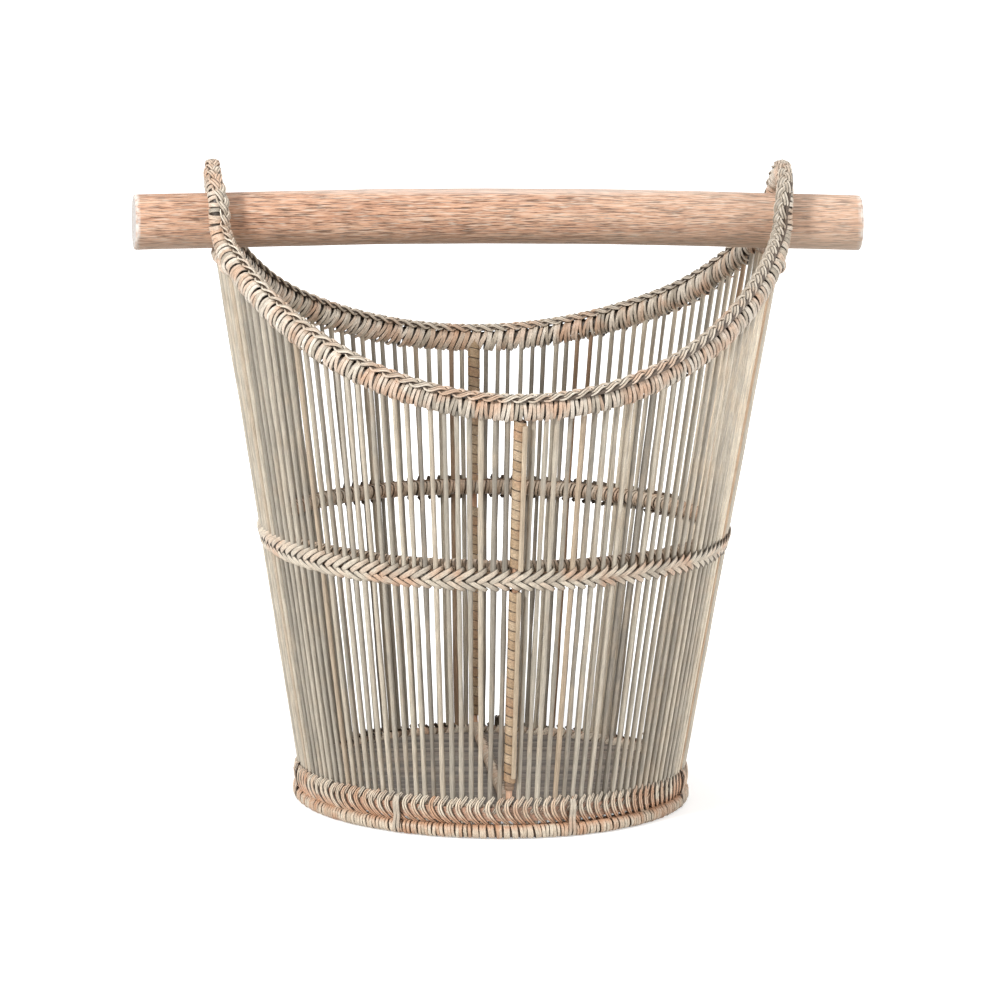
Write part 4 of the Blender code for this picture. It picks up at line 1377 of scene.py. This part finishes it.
tie_nodes = [f"base_tie_{number}" for number in range(1, TIES + 1)]
for name, lean, nodes in (("tie_strands_left", -TIE_LEAN, tie_nodes), ("tie_strands_right", TIE_LEAN, ())):
    repeat_round(name, tie_strip(name + "_strip", lean), band_cane, "tie_cane", nodes, count=TIES,
                 turn=TIE_FIRST + math.pi / 2, seed=35, shift=0.002, lift=0.0)

# %% [markdown]
# ## The handle bar
# The handle is a turned dowel of reddish wood, very slightly bowed, with rounded edges at its
# ends, and its left end is sawn a little oblique. Its grain is long and fine: dark pores and
# pale flecks that are much longer than wide. On the sawn ends the rings show instead, round the
# heart. The body is a lathe mesh along X, and the material stretches its noise along X too.

# %% Turn the bar
BAR_END = bar_high.x
BAR_BOW = 3.0 * MM
BAR_FACES = 64
BAR_EDGE = 1.7 * MM
BOW_TURN = math.pi * 0.62
BOW_SINK = 0.05
SAWN_SLANT = 0.055
BAR_WEAR = ((0.004, 3, 40), (0.003, 5, -95))


def bar_profile():
    """Places along the bar, its radius there, and how near the end face is: 2 on it, 1 beside it."""
    half = [(BAR_END, 0.0, 2.0), (BAR_END, BAR_RADIUS - BAR_EDGE, 2.0)]
    for share in np.linspace(0.2, 1, 5):
        turn = share * math.pi / 2
        half.append((BAR_END - BAR_EDGE * (1 - math.cos(turn)), BAR_RADIUS - BAR_EDGE * (1 - math.sin(turn)),
                     2 - share))
    half += [(x, BAR_RADIUS, 0.0) for x in np.linspace(BAR_END - 8 * MM, 8 * MM, 26)]
    return [(-x, radius, near) for x, radius, near in half] + half[::-1]


def turn_bar():
    """The dowel as a lathe mesh about its bowed axis."""
    profile = bar_profile()
    points, ends = [], np.repeat([near for _, _, near in profile], BAR_FACES)
    for x, radius, near in profile:
        bow = BAR_BOW * (math.cos(min(1.0, abs(x) / BAR_END) * BOW_TURN) - BOW_SINK)
        sawn = SAWN_SLANT * min(1.0, near) if x < 0 else 0.0
        for index in range(BAR_FACES):
            turn = math.tau * index / BAR_FACES
            worn = radius * (1 + sum(deep * math.sin(round_it * turn + along * x)
                                     for deep, round_it, along in BAR_WEAR))
            y = worn * math.cos(turn)
            points.append((x + sawn * (BAR_RADIUS - y), y, BAR_HEIGHT + bow + worn * math.sin(turn)))
    piece = mesh_piece("bar_dowel", points, faces=ring_faces(len(profile), BAR_FACES, closed=False), end=ends)
    work = bmesh.new()
    work.from_mesh(piece.data)
    bmesh.ops.remove_doubles(work, verts=work.verts, dist=1e-6)
    bmesh.ops.recalc_face_normals(work, faces=work.faces)
    work.to_mesh(piece.data)
    work.free()
    smooth(piece.data, 50)
    return piece


# %% Give the bar its wood
WOOD = [(0.30, (0.35, 0.185, 0.115)), (0.44, (0.495, 0.272, 0.172)), (0.58, (0.575, 0.345, 0.228)),
        (0.72, (0.64, 0.435, 0.315))]
FLECK = (0.74, 0.62, 0.51, 1)
WORN_EDGE = (0.78, 0.735, 0.685, 1)
# The next three colours are painted shade underneath, a painted highlight along the top and painted light to
# the right.
UNDERSIDE_PAINTED_SHADE = (0.36, 0.27, 0.20, 1)
TOP_PAINTED_HIGHLIGHT = (0.86, 0.76, 0.68, 1)
RIGHT_PAINTED_LIGHT = (0.74, 0.62, 0.50, 1)
DARK_RING = (0.47, 0.42, 0.385, 1)
PALE_RING = (0.62, 0.585, 0.56, 1)


def bar_wood():
    """Reddish open-grained wood with a pale worn edge, painted shade underneath, a painted highlight on top
    and painted light to the right.
    """
    material, tree = new_material("bar_wood")
    place = outlet(add(tree, "ShaderNodeTexCoord"), "Object")
    centred = add(tree, "ShaderNodeMapping", {"Vector": place, "Location": (0.0, 0.0, -BAR_HEIGHT)})

    def drawn_out(along, around, *settings):
        """Noise with its own scale along the bar and round it."""
        spot = add(tree, "ShaderNodeMapping", {"Vector": centred, "Scale": (along, around, around)})
        return noise(tree, spot, 1.0, *settings)

    pores = drawn_out(78.0, 1650.0, 4.0, 0.6)
    bands = drawn_out(15.0, 560.0, 4.0, 0.55, 0.4)
    flecks = drawn_out(115.0, 1900.0, 1.0)
    chips = noise(tree, centred, 260.0)
    parts = add(tree, "ShaderNodeSeparateXYZ", {0: centred})
    level, end = outlet(parts, "Z"), number_on(tree, "end")
    top, bottom = BAR_RADIUS + BAR_BOW / 2, -BAR_RADIUS
    worn = calc(tree, "MULTIPLY", spread(tree, end, 0.65, 1.1), spread(tree, chips, 0.36, 0.60, 0.15, 0.9))
    base = mixed(tree, 1.0, colour_ramp(tree, bands, WOOD), spread(tree, pores, 0.42, 0.51, 0.34, 1.12),
                 "MULTIPLY")
    # Flecks and the worn end edge are the wood's own; the grey underneath is painted shade, the pale top line
    # a painted highlight, the lighter right painted light.
    for share, colour in ((spread(tree, flecks, 0.54, 0.70, 0.0, 0.6), FLECK), (worn, WORN_EDGE),
                          (spread(tree, level, 0.9 * bottom, 0.2 * bottom, 0.55, 0.0), UNDERSIDE_PAINTED_SHADE),
                          (spread(tree, level, top - 0.10 * BAR_RADIUS, top, 0.0, 0.35), TOP_PAINTED_HIGHLIGHT),
                          (spread(tree, outlet(parts, "X"), 0.0, 0.2, 0.0, 0.22), RIGHT_PAINTED_LIGHT)):
        base = mixed(tree, share, base, colour)
    from_heart = vector(tree, "LENGTH", vector(tree, "MULTIPLY", centred, (0.0, 1.0, 1.0)))
    rings = calc(tree, "MULTIPLY_ADD", chips, 9.0, calc(tree, "MULTIPLY", from_heart, 2600.0))
    rings = spread(tree, calc(tree, "SINE", rings), -1.0, 1.0)
    base = mixed(tree, spread(tree, end, 1.7, 1.9), base, mixed(tree, rings, DARK_RING, PALE_RING))
    relief = calc(tree, "ADD", pores, bands)
    set_surface(tree, base, spread(tree, pores, 0.3, 0.7, 0.62, 0.48), relief, 0.4, 0.3)
    return material


bar = turn_bar()
bar.data.materials.append(bar_wood())
settle(bar, ["handle_bar"], "handle")
print("bar:", round(2000 * BAR_END), "mm long")

# %% Finish
for model in (one_turn, flat_turn, square_turn):
    bpy.data.objects.remove(model, do_unlink=True)
